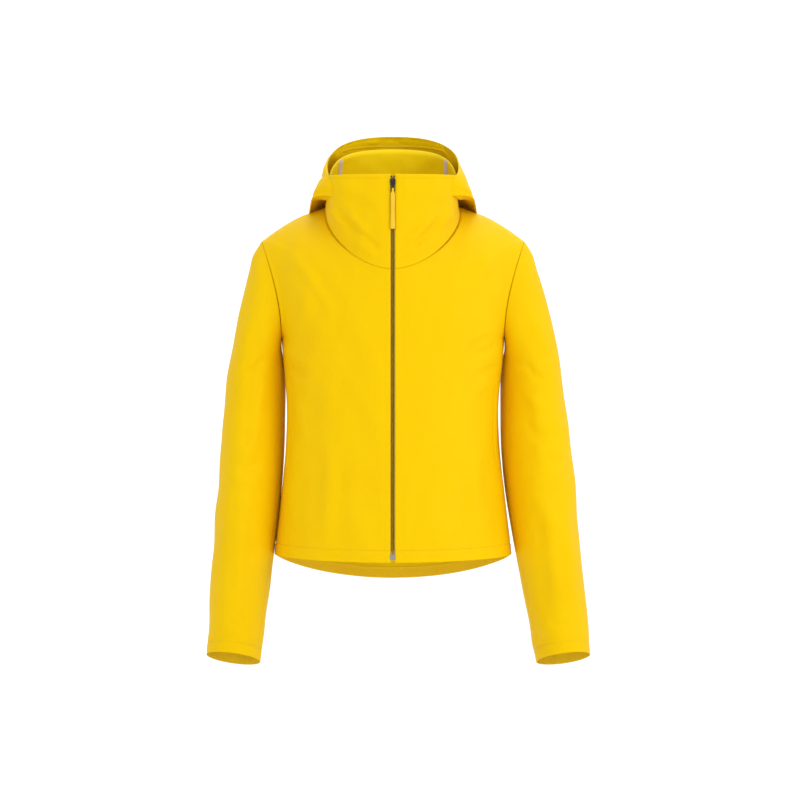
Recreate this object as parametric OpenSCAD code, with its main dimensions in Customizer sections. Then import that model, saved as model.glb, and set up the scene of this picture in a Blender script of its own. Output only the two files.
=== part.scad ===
// Hooded hardshell jacket, zipped shut, hanging as it does on a wearer.
// Front faces -Y, the wearer's left side is +X, +Z is up, millimetres.
// The origin is the centre of the neck, level with the nape.

/* [Body] */
// Nape level to the hem at the side seams
body_length = 540; // [450:5:650]
// How much lower the front hem is at the zip than at the sides
front_hem_drop = 5; // [0:1:20]
// How much lower the back hem is at its middle than at the sides
back_hem_drop = 48; // [0:1:80]
// Width across the hem
hem_width = 366; // [320:2:440]
// Width across the waist
waist_width = 326; // [290:2:400]
// Width across the chest, armpit to armpit
chest_width = 346; // [310:2:420]
// Width from shoulder tip to shoulder tip
shoulder_width = 404; // [370:2:480]
// Depth from the side seam forward to the zip, at the hem
front_depth = 126; // [100:1:150]
// Depth from the side seam back to the middle of the back, at the hem
back_depth = 128; // [100:1:150]
// Nape level down to the shoulder tips
shoulder_drop = 56; // [40:1:80]
// Nape level down to the armpits
armhole_depth = 205; // [180:1:240]
// Half the width of the neck where the shoulder seam meets the collar
neck_half_width = 100; // [85:1:115]
// Thickness of the shell as it is modelled
shell = 1.2; // [0.8:0.1:2]
// Gap left between two pieces along a seam
seam_gap = 0.5; // [0.3:0.1:0.9]

/* [Sleeves] */
// Shoulder tip down to the middle of the cuff
sleeve_drop = 644; // [560:2:720]
// How far the upper sleeve stands out beyond the shoulder tip
upper_sleeve_out = 35; // [20:1:45]
// Front to back depth of the sleeve at the biceps
biceps_depth = 124; // [100:1:140]
// Width of the cuff
cuff_width = 82; // [70:1:100]
// Front to back depth of the cuff
cuff_depth = 92; // [75:1:110]
// How far the right cuff hangs outside the shoulder tip
cuff_out_right = 41; // [20:1:90]
// How far the left cuff hangs outside the shoulder tip
cuff_out_left = 58; // [20:1:90]
// How far the cuffs hang in front of the shoulder tips
cuff_forward = 34; // [0:1:60]
// How far the back edge of the cuff hangs below its front edge
cuff_slant = 28; // [0:1:40]

/* [Collar and hood] */
// Height of the front collar's top edge above nape level
collar_top = 38; // [25:1:60]
// Nape level down to the neckline seam at the zip
neckline_drop = 105; // [80:1:130]
// Half the width of the front collar's top edge
collar_half_width = 98; // [85:1:110]
// Height of the fold at the top of the inner hood, at the back
inner_fold_top = 96; // [75:1:110]
// Height of the hood's brim at the back, lying open
brim_top = 121; // [100:1:140]
// How far the lying hood hangs below nape level at the back
hood_hang = 62; // [40:1:90]
// Half the width of the hood where it lies on the shoulders
hood_half_width = 131; // [115:1:150]
// Width of the stiffened brim
brim_width = 16; // [10:1:25]

/* [Zips] */
// Width of a row of coil teeth
coil_width = 2.2; // [1.8:0.1:3]
// Gap between the two rows of coil teeth
coil_split = 1.2; // [1:0.1:1.6]
// Width of the fabric tape beside the coil
tape_width = 5.5; // [4.5:0.5:6.5]
// Length of the front zip's slider
slider_length = 11; // [8:0.5:14]
// Length of the wire bail on a zip pull
bail_length = 13; // [10:0.5:18]
// Length of the soft grip on the front zip pull
grip_length = 58; // [30:1:70]

/* [Pockets] */
// Nape level down to the top of the hand pockets
pocket_top = 268; // [255:1:290]
// Length of a hand pocket's opening
pocket_length = 142; // [110:1:160]

/* [Hidden] */

shell_yellow = "#f6cd10";
lining_yellow = "#e3b40c";
tape_lilac = "#cfc8da";
zip_bronze = "#4a3a1c";
slider_black = "#1b1a19";

// Smooth interpolation -------------------------------------------------------------------

function mix(a, b, t) = a + (b - a) * t;

// The index of the key at or before t, for keys that are [t, value] in rising order.
function key_before(keys, t, i = 0) =
  i >= len(keys) - 2 || t < keys[i + 1][0] ? i : key_before(keys, t, i + 1);

function key_slope(keys, i) =
  let (a = max(i - 1, 0), b = min(i + 1, len(keys) - 1))
  (keys[b][1] - keys[a][1]) / (keys[b][0] - keys[a][0]);

// A smooth curve through the keys' values, which may be numbers, points or lists of points.
function through(keys, t) =
  let (
    i = key_before(keys, t),
    h = keys[i + 1][0] - keys[i][0],
    u = (t - keys[i][0]) / h
  )
  keys[i][1] * (2 * u * u * u - 3 * u * u + 1) + key_slope(keys, i) * (h * (u * u * u - 2 * u * u + u))
  + keys[i + 1][1] * (3 * u * u - 2 * u * u * u) + key_slope(keys, i + 1) * (h * (u * u * u - u * u));

function bezier(p, s) =
  p[0] * pow(1 - s, 3) + p[1] * (3 * s * pow(1 - s, 2)) + p[2] * (3 * s * s * (1 - s)) + p[3] * pow(s, 3);

function steps(a, b, n) = [for (i = [0:n]) a + (b - a) * i / n];

// A closed ring through four points given in order round it.
function ring_point(q, a) =
  let (mid = (q[0] + q[2]) / 2)
  mid + (q[0] - q[2]) * (cos(a) / 2) + (q[1] - q[3]) * (sin(a) / 2)
  + ((q[1] + q[3]) / 2 - mid) * pow(sin(a), 2);

// Shells -----------------------------------------------------------------------------------

function unit(v) = v / norm(v);

// The inward direction at grid point [j, i]: rows run upwards, columns run to the wearer's left.
function inward(p, j, i, turn) =
  let (
    up = p[min(j + 1, len(p) - 1)][i] - p[max(j - 1, 0)][i],
    across = p[j][min(i + 1, len(p[0]) - 1)] - p[j][max(i - 1, 0)]
  )
  unit(cross(up, across)) * turn;

// The same grid, moved inward by a depth.
function layer(p, depth, turn = 1) =
  [for (j = [0:len(p) - 1]) [for (i = [0:len(p[0]) - 1]) p[j][i] + inward(p, j, i, turn) * depth]];

// Part of a grid: rows r0 to r1 and columns c0 to c1, with its first and last rows trimmed a little.
function part_of(p, r0, r1, c0, c1, trim = 0) =
  let (
    q = [for (j = [r0:r1]) [for (i = [c0:c1]) p[j][i]]],
    last = r1 - r0
  )
  [for (j = [0:last]) j == 0 ? mix(q[0], q[1], trim) : j == last ? mix(q[last], q[last - 1], trim) : q[j]];

// The closed solid between an outer and an inner layer. Quads in the gap's rows and columns are left out.
module between(outer, inner, turn = 1, gap = []) {
  rows = len(outer);
  cols = len(outer[0]);
  n = rows * cols;
  points = [for (p = [outer, inner], j = [0:rows - 1], i = [0:cols - 1]) p[j][i]];
  function solid(j, i) =
    j >= 0 && i >= 0 && j < rows - 1 && i < cols - 1
    && !(len(gap) == 4 && j >= gap[0] && j < gap[1] && i >= gap[2] && i < gap[3]);
  function at(j, i, side) = side * n + j * cols + i;
  quads = [
    for (j = [0:rows - 2], i = [0:cols - 2]) if (solid(j, i)) each [
      [at(j, i, 0), at(j, i + 1, 0), at(j + 1, i + 1, 0), at(j + 1, i, 0)],
      [at(j, i, 1), at(j + 1, i, 1), at(j + 1, i + 1, 1), at(j, i + 1, 1)],
      if (!solid(j - 1, i)) [at(j, i, 0), at(j, i, 1), at(j, i + 1, 1), at(j, i + 1, 0)],
      if (!solid(j + 1, i)) [at(j + 1, i + 1, 0), at(j + 1, i + 1, 1), at(j + 1, i, 1), at(j + 1, i, 0)],
      if (!solid(j, i - 1)) [at(j + 1, i, 0), at(j + 1, i, 1), at(j, i, 1), at(j, i, 0)],
      if (!solid(j, i + 1)) [at(j, i + 1, 0), at(j, i + 1, 1), at(j + 1, i + 1, 1), at(j + 1, i + 1, 0)]
    ]
  ];
  faces = [
    for (q = quads) each [
      turn > 0 ? [q[0], q[2], q[1]] : [q[0], q[1], q[2]],
      turn > 0 ? [q[0], q[3], q[2]] : [q[0], q[2], q[3]]
    ]
  ];
  polyhedron(points = points, faces = faces, convexity = 6);
}

module skin(p, depth_a, depth_b, turn = 1, gap = [])
  between(layer(p, depth_a, turn), layer(p, depth_b, turn), turn, gap);

// A lining that follows part of a shell's grid, just inside it.
module lining(p, part, turn = 1, thick = facing, trim = 0)
  between(
    part_of(layer(p, shell + lining_gap, turn), part[0], part[1], part[2], part[3], trim),
    part_of(layer(p, shell + lining_gap + thick, turn), part[0], part[1], part[2], part[3], trim),
    turn
  );

// What is made for the wearer's left, or mirrored for the right.
module sided(side) {
  if (side > 0) children();
  else mirror([1, 0, 0]) children();
}

// The front zip's line -----------------------------------------------------------------------

zip_lean = 22; // how much further forward the zip is at the hem than at the collar
front_hem_z = -(body_length + front_hem_drop);
zip_top_y = -(front_depth - zip_lean);
zip_slope = zip_lean / (collar_top - front_hem_z);
zip_angle = atan(zip_slope);
function zip_y(z) = zip_top_y - (collar_top - z) * zip_slope;
function on_zip(z) = [0, zip_y(z), z];

// Body patches ---------------------------------------------------------------------------------
// A patch's rows are Bezier curves from the body's middle, s = 0, to its side boundary, s = 1.
// Row height v runs from the hem through the armpit and the shoulder tip to the neck.

v_armpit = 0.6;
v_tip = 0.9;
shoulder_tip = [shoulder_width / 2 + 2, 5, -shoulder_drop];
armpit = [chest_width / 2, 0, -armhole_depth];
neck_point = [neck_half_width, 12, -2];
armhole_front = [chest_width / 2 + 5, -42, mix(-shoulder_drop, -armhole_depth, 0.58)];
armhole_back = [chest_width / 2 + 8, 50, mix(-shoulder_drop, -armhole_depth, 0.53)];
armhole = [shoulder_tip, armhole_front, armpit, armhole_back];
shoulder_run = neck_point - shoulder_tip;
shoulder_rise = 8; // how much the shoulder line is arched

waist_v = 0.36;
side_half_width = [[0, hem_width / 2], [waist_v, waist_width / 2], [v_armpit, chest_width / 2]];

function side_point(v, front) =
  v <= v_armpit ? [through(side_half_width, v), 0, mix(-body_length, -armhole_depth, v / v_armpit)]
  : v <= v_tip ? ring_point(armhole, (front ? 1 : -1) * 180 * (v_tip - v) / (v_tip - v_armpit))
  : let (w = (v - v_tip) / (1 - v_tip))
    shoulder_tip + shoulder_run * w + [0, 0, shoulder_rise * sin(180 * w)];

round_across = 0.62; // how square the body's plan is, as a share of its half width
round_along = 0.6; // the same, as a share of its depth
shoulder_lift = [-40, 0, 16]; // a step along the shoulder line towards the neck

// A row of a patch: [v, [middle point, its handle's end, the side's handle's end]].
function row(v, middle, across, from_side, front = true) =
  [v, [middle, middle + across, side_point(v, front) + from_side]];

front_rows = [
  row(0, on_zip(front_hem_z), [round_across * hem_width / 2, 0, 0], [0, -round_along * front_depth, 0]),
  row(waist_v, on_zip(mix(front_hem_z, -armhole_depth, 0.6)),
    [round_across * waist_width / 2, 0, 0], [0, -round_along * front_depth, 0]),
  row(v_armpit, on_zip(-armhole_depth - 14), [round_across * chest_width / 2, 0, 0],
    [-6, -round_along * front_depth, 0]),
  row(0.75, on_zip(-armhole_depth + 24), [0.58 * chest_width / 2, 0, 4], [-36, -36, 4]),
  row(v_tip, on_zip(-neckline_drop - 34), [0.56 * chest_width / 2, 0, 8], shoulder_lift + [0, -56, -3]),
  row(0.95, on_zip(-neckline_drop - 16), [0.45 * chest_width / 2, 0, 6], [-10, -64, -14]),
  row(1, on_zip(-neckline_drop), [0.34 * chest_width / 2, 0, 1], [18, -74, -34])
];

back_rows = [
  row(0, [0, back_depth, -(body_length + back_hem_drop)], [round_across * hem_width / 2, 0, 0],
    [0, round_along * back_depth, -0.3 * back_hem_drop], false),
  row(waist_v, [0, back_depth - 14, mix(-body_length, -armhole_depth, 0.58)],
    [round_across * waist_width / 2, 0, 0], [0, round_along * (back_depth - 10), 0], false),
  row(v_armpit, [0, back_depth - 4, -armhole_depth - 2], [round_across * chest_width / 2, 0, 0],
    [-4, round_along * back_depth - 2, 0], false),
  row(0.75, [0, back_depth - 4, -armhole_depth + 62], [0.6 * chest_width / 2, 0, 2], [-30, 38, 6], false),
  row(v_tip, [0, back_depth - 14, -shoulder_drop - 22], [0.55 * chest_width / 2, 0, 4],
    shoulder_lift + [0, 56, -3], false),
  row(1, [0, 86, 12], [0.32 * chest_width / 2, 0, 0], [0, 42, 4], false)
];

zip_half = coil_split / 2 + coil_width + 0.4; // the shell stops here, beside the zip's coil
// Where a row starts, beside the zip, and where it stops, half a seam gap short of its side.
function s_start(k) = zip_half / (3 * k[1].x);
function s_end(k, side, v) = 1 - (v > v_armpit ? 0.9 : 0.5) * seam_gap / (3 * norm(side - k[2]));
v_seam = 1 - seam_gap / 500;

// Hand pocket: a slot in the front shell between the rows pocket_top and pocket_length give.
s_pocket = 0.86;
pocket_slot = 0.009;
function v_of_side_z(z) = v_armpit * (z + body_length) / (body_length - armhole_depth);
v_pocket = [v_of_side_z(-(pocket_top + pocket_length)), v_of_side_z(-pocket_top)];

hem_facing_v = 0.05;
front_columns = [0.045, 0.14, 0.24, 0.34, 0.44, 0.54, 0.64, 0.73, 0.805,
  s_pocket - pocket_slot, s_pocket + pocket_slot, 0.91, 0.957];
front_heights = concat([0, hem_facing_v], [for (i = [1:2]) mix(hem_facing_v, v_pocket[0], i / 2)],
  [for (i = [1:5]) mix(v_pocket[0], v_pocket[1], i / 5)],
  [for (i = [1:3]) mix(v_pocket[1], v_armpit, i / 3)], [for (i = [1:6]) mix(v_armpit, v_tip, i / 6)],
  [for (i = [1:4]) mix(v_tip, v_seam, i / 4)]);
pocket_gap = [3, 8, 10, 11]; // the rows and columns that the slot takes
armpit_row = 11;
tip_row = 17;
neck_row = 21;

front_grid = [for (v = front_heights)
  let (k = through(front_rows, v), side = side_point(v, true))
  [for (s = concat([s_start(k)], front_columns, [s_end(k, side, v)])) bezier([k[0], k[1], k[2], side], s)]];
last_column = len(front_columns) + 1;

module front(side) color(shell_yellow) sided(side) skin(front_grid, 0, shell, gap = pocket_gap);

back_columns = [0.957, 0.88, 0.77, 0.65, 0.52, 0.39, 0.26, 0.13];
back_heights = concat([0, hem_facing_v], [for (i = [1:6]) mix(hem_facing_v, v_armpit, i / 6)],
  [for (i = [1:6]) mix(v_armpit, v_tip, i / 6)], [for (i = [1:4]) mix(v_tip, v_seam, i / 4)]);
back_grid = [for (v = back_heights)
  let (k = through(back_rows, v), side = side_point(v, false), end = s_end(k, side, v))
  [for (s = concat([-end], -back_columns, [0], [for (i = [7:-1:0]) back_columns[i]], [end]))
    let (q = bezier([k[0], k[1], k[2], side], abs(s))) [q.x * sign(s), q.y, q.z]]];

module back() color(shell_yellow) skin(back_grid, 0, shell, turn = -1);

// Facings and seam tapes lie inside the shell, clear of it by lining_gap.
lining_gap = 0.35;
facing = 0.6;

module hem_facing(side) color(lining_yellow) sided(side) lining(front_grid, [0, 1, 1, last_column]);
module hem_facing_back() color(lining_yellow) lining(back_grid, [0, 1, 0, 18], turn = -1);
module side_seam_tape(side) color(tape_lilac) sided(side)
  lining(front_grid, [1, armpit_row, last_column - 1, last_column], trim = 0.04);
module shoulder_tape(side) color(tape_lilac) sided(side)
  lining(front_grid, [tip_row, neck_row, last_column - 1, last_column], trim = 0.08);

// Collar ---------------------------------------------------------------------------------------

collar_corner = [collar_half_width, -61, collar_top + 1];
function neckline_row() =
  let (k = front_rows[len(front_rows) - 1][1])
  [k[0], k[1], k[2], neck_point];
collar_rows = [
  [0, neckline_row()],
  [0.55, [on_zip(mix(-neckline_drop, collar_top, 0.55)), on_zip(mix(-neckline_drop, collar_top, 0.57)) + [62, 0, 0],
    [collar_half_width + 7, -78, -4], mix(neck_point, collar_corner, 0.5) + [0.5, 0, -2]]],
  [1, [on_zip(collar_top), on_zip(collar_top) + [66, 0, 0],
    [collar_half_width - 2, -92, collar_top], collar_corner]]
];
function collar_point(v, s) = bezier(through(collar_rows, v), s);
collar_columns = [0.095, 0.19, 0.29, 0.39, 0.49, 0.59, 0.69, 0.79, 0.89, 0.99];
collar_heights = concat([seam_gap / 300], steps(0.12, 0.88, 4), [0.997]);
collar_grid = [for (v = collar_heights)
  let (k = through(collar_rows, v)) [for (s = concat([s_start(k)], collar_columns)) bezier(k, s)]];

module collar(side) color(shell_yellow) sided(side) skin(collar_grid, 0, shell);
module collar_lining(side) color(lining_yellow) sided(side)
  lining(collar_grid, [0, len(collar_heights) - 1, 1, len(collar_columns)], trim = 0.06);

// Hood, lying open behind the neck ----------------------------------------------------------------
// Its rows run from the front corner at the side, s = 0, to the middle of the back, s = 1.

neck_back = [0, 88, 13];
fold = 5; // radius of the soft fold along the top of the neck panel
hood_bottom = -hood_hang;
function collar_edge(v) = collar_point(v, 1);
neck_panel_rows = [
  [0, [collar_edge(0) + [-1, 1, 1], neck_point + [-3, 48, 7], [60, neck_back.y, neck_back.z], neck_back]],
  [0.22, [collar_edge(0.5) + [-1.5, 1.5, 1], [collar_half_width - 3, 46, 44], [68, 85, 55], [0, 85, 55]]],
  [0.42, [collar_edge(0.93) + [-3, 4, 0], [collar_half_width - 7, 30, inner_fold_top - 23], [70, 80, inner_fold_top - 8],
    [0, 80, inner_fold_top - 8]]],
  [0.47, [collar_edge(1) + [-2.2, 4, 0], [collar_half_width - 6, 32, inner_fold_top - 17], [72, 80 + fold, inner_fold_top],
    [0, 80 + fold, inner_fold_top]]],
  [0.52, [collar_edge(1) + [-0.4, 4, -3], [collar_half_width - 1, 34, inner_fold_top - 22], [76, 80 + 2 * fold, inner_fold_top - 7],
    [0, 80 + 2 * fold, inner_fold_top - 7]]],
  [0.76, [[collar_half_width + 1, -46, 26], [collar_half_width + 14, 28, 16], [96, 104, 14], [0, 108, 14]]],
  [1, [[collar_half_width + 3, -38, 16], [hood_half_width + 12, 6, 37], [118, 125, hood_bottom + 1], [0, 131.5, hood_bottom - 1]]]
];
function neck_panel_point(v, s) =
  let (p = bezier(through(neck_panel_rows, v), 1 - abs(s))) [p.x * sign(s), p.y, p.z];
neck_panel_columns = [for (i = [-12:12]) i == 0 ? 0 : 0.985 * i / 12];
neck_panel_heights = concat(steps(0.004, 0.38, 4), [0.42, 0.445, 0.47, 0.495, 0.52], steps(0.6, 1, 4));
neck_panel_grid = [for (v = neck_panel_heights) [for (s = neck_panel_columns) neck_panel_point(v, s)]];

module hood_neck_panel() color(shell_yellow) skin(neck_panel_grid, 0, shell, turn = -1);

// The outer side of the hood, from its lowest line up over the bulge to the brim's edge.
// Its front edge lies on the collar, off_collar clear of it.
off_collar = 0.45;
function on_collar(v, s) =
  let (
    p = collar_point(v, s), up = collar_point(v + 0.01, s) - collar_point(v - 0.01, s),
    across = collar_point(v, s + 0.005) - collar_point(v, s - 0.005)
  )
  p - unit(cross(up, across)) * off_collar;
outer_rows = [
  [0, [on_collar(0.66, 0.8), [hood_half_width + 30, -34, 33], [134, 130, hood_bottom - 1], [0, 136, hood_bottom - 3]]],
  [0.12, [on_collar(0.7, 0.82), [hood_half_width + 30, -32, 35], [140, 148, hood_bottom + 6], [0, 153, hood_bottom + 4]]],
  [0.5, [on_collar(0.86, 0.9), [hood_half_width + 20, 0, 22], [134, 162, 22], [0, 164, 16]]],
  [0.82, [on_collar(0.94, 0.93), [114, 24, 62], [96, 140, 92], [0, 144, 88]]],
  [1, [on_collar(0.985, 0.95), [104, 30, brim_top - 33], [78, 122, brim_top + 1], [0, 125, brim_top]]]
];
function outer_point(v, s) =
  let (p = bezier(through(outer_rows, v), 1 - abs(s))) [p.x * sign(s), p.y, p.z];

cheek_end = 0.6; // where the side panels stop, as a share of the way round to the back
v_brim = 1 - brim_width / 190;
crown_columns = [for (i = [-6:6]) i == 0 ? 0 : (1 - cheek_end) * i / 6];
outer_heights = [0, 0.05, 0.12, 0.25, 0.38, 0.5, 0.62, 0.74, v_brim - 0.004];

module hood_crown() color(shell_yellow)
  skin([for (v = outer_heights) [for (s = crown_columns) outer_point(v, s)]], 0, shell, turn = -1);

module hood_brim() color(shell_yellow)
  skin([for (v = steps(v_brim, 1, 2)) [for (s = crown_columns) outer_point(v, s)]], 0, shell + 0.4, turn = -1);

cheek_gap = 0.004;
cheek_heights = [0.02, 0.12, 0.25, 0.38, 0.5, 0.62, 0.74, 0.87, 1];
module hood_cheek(side) color(shell_yellow) sided(side)
  skin([for (v = cheek_heights) [for (s = steps(1 - cheek_end + cheek_gap, 1, 9)) outer_point(v, s)]], 0, shell, turn = 1);

module hood_seam_tapes() color(tape_lilac)
  for (side = [-1, 1]) sided(side) lining(neck_panel_grid, [0, 5, 19, 20], turn = -1, trim = 0.06);

// Sleeves -----------------------------------------------------------------------------------------

function side_x(z) = through(side_half_width, v_of_side_z(z));
function beside_body(z, gap, back = 0) = [side_x(z) + gap, back, z];
behind_side = 28; // how far behind the side seam the sleeve hangs closest to the body
biceps_z = -armhole_depth - 55;
cuff_z = -shoulder_drop - sleeve_drop;

// A sleeve's rings as [outer, front, inner, back] points, from the armhole to the cuff.
function sleeve_rings(out) =
  let (
    tip = shoulder_tip,
    biceps_in = beside_body(biceps_z, 0.3, behind_side),
    biceps_out = [tip.x + upper_sleeve_out + 0.35 * out, 2, biceps_z + 6],
    elbow_z = mix(biceps_z, cuff_z, 0.38),
    elbow_in = beside_body(elbow_z, 2.6, 0.5 * behind_side),
    cuff = [tip.x + out, tip.y - cuff_forward, cuff_z],
    cuff_ring = [
      cuff + [cuff_width / 2, 0, 5], cuff + [0, -cuff_depth / 2, cuff_slant / 2],
      cuff - [cuff_width / 2, 0, 5], cuff + [0, cuff_depth / 2, -cuff_slant / 2]
    ],
    biceps_mid = (biceps_in + biceps_out) / 2,
    elbow_out = mix(biceps_out, cuff_ring[0], 0.4) + [4, 0, 0],
    elbow_mid = (elbow_in + elbow_out) / 2,
    elbow_depth = mix(biceps_depth, cuff_depth, 0.4)
  )
  [
    [0, armhole],
    [0.1, [
      [tip.x + 0.64 * upper_sleeve_out + 0.05 * out, 4, mix(tip.z, biceps_out.z, 0.31)],
      mix(armhole_front, biceps_mid, 0.42) + [-1, -27, 4],
      beside_body(-armhole_depth - 20, 2, 0.6 * behind_side),
      mix(armhole_back, biceps_mid, 0.42) + [-1, 27, 4]
    ]],
    [biceps_t, [biceps_out, biceps_mid + [0, -biceps_depth / 2, 0], biceps_in, biceps_mid + [0, biceps_depth / 2, 0]]],
    [0.56, [
      elbow_out, elbow_mid + [0, -elbow_depth / 2 - 0.35 * cuff_forward, 0],
      elbow_in, elbow_mid + [0, elbow_depth / 2 - 0.35 * cuff_forward, 0]
    ]],
    [1, cuff_ring]
  ];
function sleeve_point(out, t, a) = ring_point(through(sleeve_rings(out), t), a);
biceps_t = 0.27; // share of the way down the sleeve where the biceps ring is
sleeve_t = concat([seam_gap / 300], steps(0.02, 0.12, 3), steps(0.17, biceps_t, 2), steps(0.36, 1, 7));
under_from = 122; // the under panel runs from here round past the armpit side
under_to = 256;
over_arm = 4; // where the front and back panels meet, over the top of the arm
angle_gap = 0.8;
function sleeve_grid(out, ts, a0, a1, n) =
  [for (t = ts) [for (a = steps(a0, a1, n)) sleeve_point(out, t, a)]];

function cuff_out(side) = side > 0 ? cuff_out_left : cuff_out_right;
module sleeve_front(side) color(shell_yellow) sided(side)
  skin(sleeve_grid(cuff_out(side), sleeve_t, over_arm + angle_gap, under_from - angle_gap, 14), 0, shell);
// The back panel is in two: down to the biceps, and on to the cuff.
upper_t = [for (t = sleeve_t) if (t < biceps_t + 0.01) t];
lower_t = concat([biceps_t + seam_gap / 500], [for (t = sleeve_t) if (t > biceps_t + 0.01) t]);
module sleeve_back(side, ts) color(shell_yellow) sided(side)
  skin(sleeve_grid(cuff_out(side), ts, under_to - 360 + angle_gap, over_arm - angle_gap, 10), 0, shell);
module sleeve_under(side) color(shell_yellow) sided(side)
  skin(sleeve_grid(cuff_out(side), sleeve_t, under_from + angle_gap, under_to - angle_gap, 12), 0, shell);
cuff_row = len(sleeve_t) - 1;
module cuff_facing(side) color(lining_yellow) sided(side) {
  ts = [0.955, sleeve_t[cuff_row] - 0.001];
  skin(sleeve_grid(cuff_out(side), ts, under_from + 1, under_from + 359, 34),
    shell + 0.75, shell + 0.75 + facing);
}

// Hand pockets --------------------------------------------------------------------------------------

module pocket_welt(side) color(shell_yellow) sided(side)
  between(part_of(layer(front_grid, -lining_gap - 0.9), 2, 9, 9, 12, 0.7),
    part_of(layer(front_grid, -lining_gap), 2, 9, 9, 12, 0.7));
module pocket_bag(side) color(lining_yellow) sided(side)
  lining(front_grid, [2, 9, 5, 12], thick = 1, trim = 0.4);

// Front zip -----------------------------------------------------------------------------------------

zip_bottom = front_hem_z + 4;
zip_top = collar_top - 3;
box_height = 9;
pin_height = 5;
stop_height = 2.2;
coil_bottom = zip_bottom + box_height + pin_height;
coil_top = zip_top - stop_height - 0.3;
coil_x = coil_split / 2 + coil_width / 2;
coil_depth = 0.9; // how far the coil's middle is behind the shell's outer face
tape_depth = 1.75;
tape_thick = 0.5;

// Children sit on the zip's line at height z: x across, y inward, z up along the zip.
module on_front_zip(z) translate(on_zip(z)) rotate([-zip_angle, 0, 0]) children();
module block(x0, x1, y0, y1, z0, z1) translate([x0, y0, z0]) cube([x1 - x0, y1 - y0, z1 - z0]);
function along(z0, z1) = (z1 - z0) / cos(zip_angle);

module zip_tape(side) color(lining_yellow) on_front_zip(zip_bottom) {
  x0 = coil_split / 2 + coil_width + 0.15;
  block(side > 0 ? x0 : -x0 - tape_width, side > 0 ? x0 + tape_width : -x0,
    tape_depth, tape_depth + tape_thick, 0, along(zip_bottom, zip_top));
}
module zip_coil(side) color(zip_bronze) on_front_zip(coil_bottom)
  translate([side * coil_x, coil_depth, 0]) cylinder(h = along(coil_bottom, coil_top), d = coil_width, $fn = 32);

module zip_top_stops() color(zip_bronze) on_front_zip(zip_top - stop_height)
  for (side = [-1, 1]) translate([side * (coil_x + 0.1), coil_depth, 0])
    cylinder(h = stop_height, d = coil_width + 0.1, $fn = 32);

pin_bore = 2.1;
module zip_retainer_box() color(slider_black) on_front_zip(zip_bottom) difference() {
  block(-coil_x - 1.35, coil_x + 1.35, -0.9, 3.1, 0, box_height);
  for (side = [-1, 1]) translate([side * coil_x, coil_depth, 1.5]) cylinder(h = box_height, d = pin_bore, $fn = 32);
  for (side = [-1, 1])
    block(side > 0 ? coil_x + 0.3 : -coil_x - 2, side > 0 ? coil_x + 2 : -coil_x - 0.3, 1.4, 2.6, -1, box_height + 1);
}
module zip_insertion_pin() color(slider_black) on_front_zip(zip_bottom)
  for (side = [-1, 1]) translate([side * coil_x, coil_depth, 1.8])
    cylinder(h = along(zip_bottom, coil_bottom) - 2.1, d = pin_bore - 0.6, $fn = 32);

// The slider's body holds the coils between two plates joined by a thin post.
slider_half_width = coil_x + coil_width / 2 + 1.5;
plate = 1.1;
plate_gap = 0.35;
front_plate_y = coil_depth - coil_width / 2 - plate_gap;
back_plate_y = tape_depth + tape_thick + plate_gap;
bridge_gap = 1.9;
wire = 1.1;
wire_y = front_plate_y - plate - bridge_gap / 2;
slider_z = coil_top - slider_length / 2 - 1.5;
module front_slider() color(slider_black) on_front_zip(slider_z) {
  half = slider_length / 2;
  block(-slider_half_width, slider_half_width, front_plate_y - plate, front_plate_y, -half, half);
  block(-slider_half_width, slider_half_width, back_plate_y, back_plate_y + plate, -half, half);
  block(-0.25, 0.25, front_plate_y - 0.1, back_plate_y + 0.1, 0.1 * half, 0.9 * half);
  bridge_y = front_plate_y - plate - bridge_gap;
  block(-1.2, 1.2, bridge_y - 0.9, bridge_y, -0.8 * half, 0.8 * half);
  for (end = [-1, 1])
    block(-1.2, 1.2, bridge_y - 0.9, front_plate_y - plate + 0.1,
      end > 0 ? 0.6 * half : -0.8 * half, end > 0 ? 0.8 * half : -0.6 * half);
}

bail_half = 2.35;
tongue = 2.8; // width of the grip's tongue between the bail's legs
module front_pull_bail() color(slider_black) on_front_zip(slider_z) translate([0, wire_y, 0]) {
  for (z = [0, -bail_length])
    translate([-bail_half, 0, z]) rotate([0, 90, 0]) cylinder(h = 2 * bail_half, d = wire, $fn = 32);
  for (side = [-1, 1]) translate([side * bail_half, 0, -bail_length - wire / 2])
    cylinder(h = bail_length + wire, d = wire, $fn = 32);
}

grip_width = 7.2;
grip_thick = 2.6;
module front_pull_grip() color(shell_yellow) on_front_zip(slider_z) translate([0, wire_y, -bail_length])
  difference() {
    union() {
      block(-tongue / 2, tongue / 2, -grip_thick / 2, grip_thick / 2, -4, 1.8);
      block(-grip_width / 2 + 0.6, grip_width / 2 - 0.6, -grip_thick / 2, grip_thick / 2, -4, -1.5);
      block(-grip_width / 2, grip_width / 2, -grip_thick / 2, grip_thick / 2, -grip_length + 2, -3);
      block(-grip_width / 2 + 1.2, grip_width / 2 - 1.2, -grip_thick / 2, grip_thick / 2, -grip_length, -grip_length + 3);
    }
    translate([-grip_width, 0, 0]) rotate([0, 90, 0]) cylinder(h = 2 * grip_width, d = wire + 0.5, $fn = 32);
  }

// The storm flap runs behind the zip, clear of the slider.
module storm_flap() color(lining_yellow) {
  back_of_slider = back_plate_y + plate + 0.4;
  close = tape_depth + tape_thick + 0.4;
  edge = zip_half + tape_width + 2.5;
  profile = [[-edge, close], [-edge + 3.5, close], [-edge + 5.5, back_of_slider], [0, back_of_slider],
    [edge - 5.5, back_of_slider], [edge - 3.5, close], [edge, close]];
  skin([for (z = steps(zip_bottom + 2, zip_top - 2, 3)) [for (q = profile) on_zip(z) + [q.x, q.y, 0]]], 0, facing);
}

// Small pieces at the back of the neck ---------------------------------------------------------------

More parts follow.
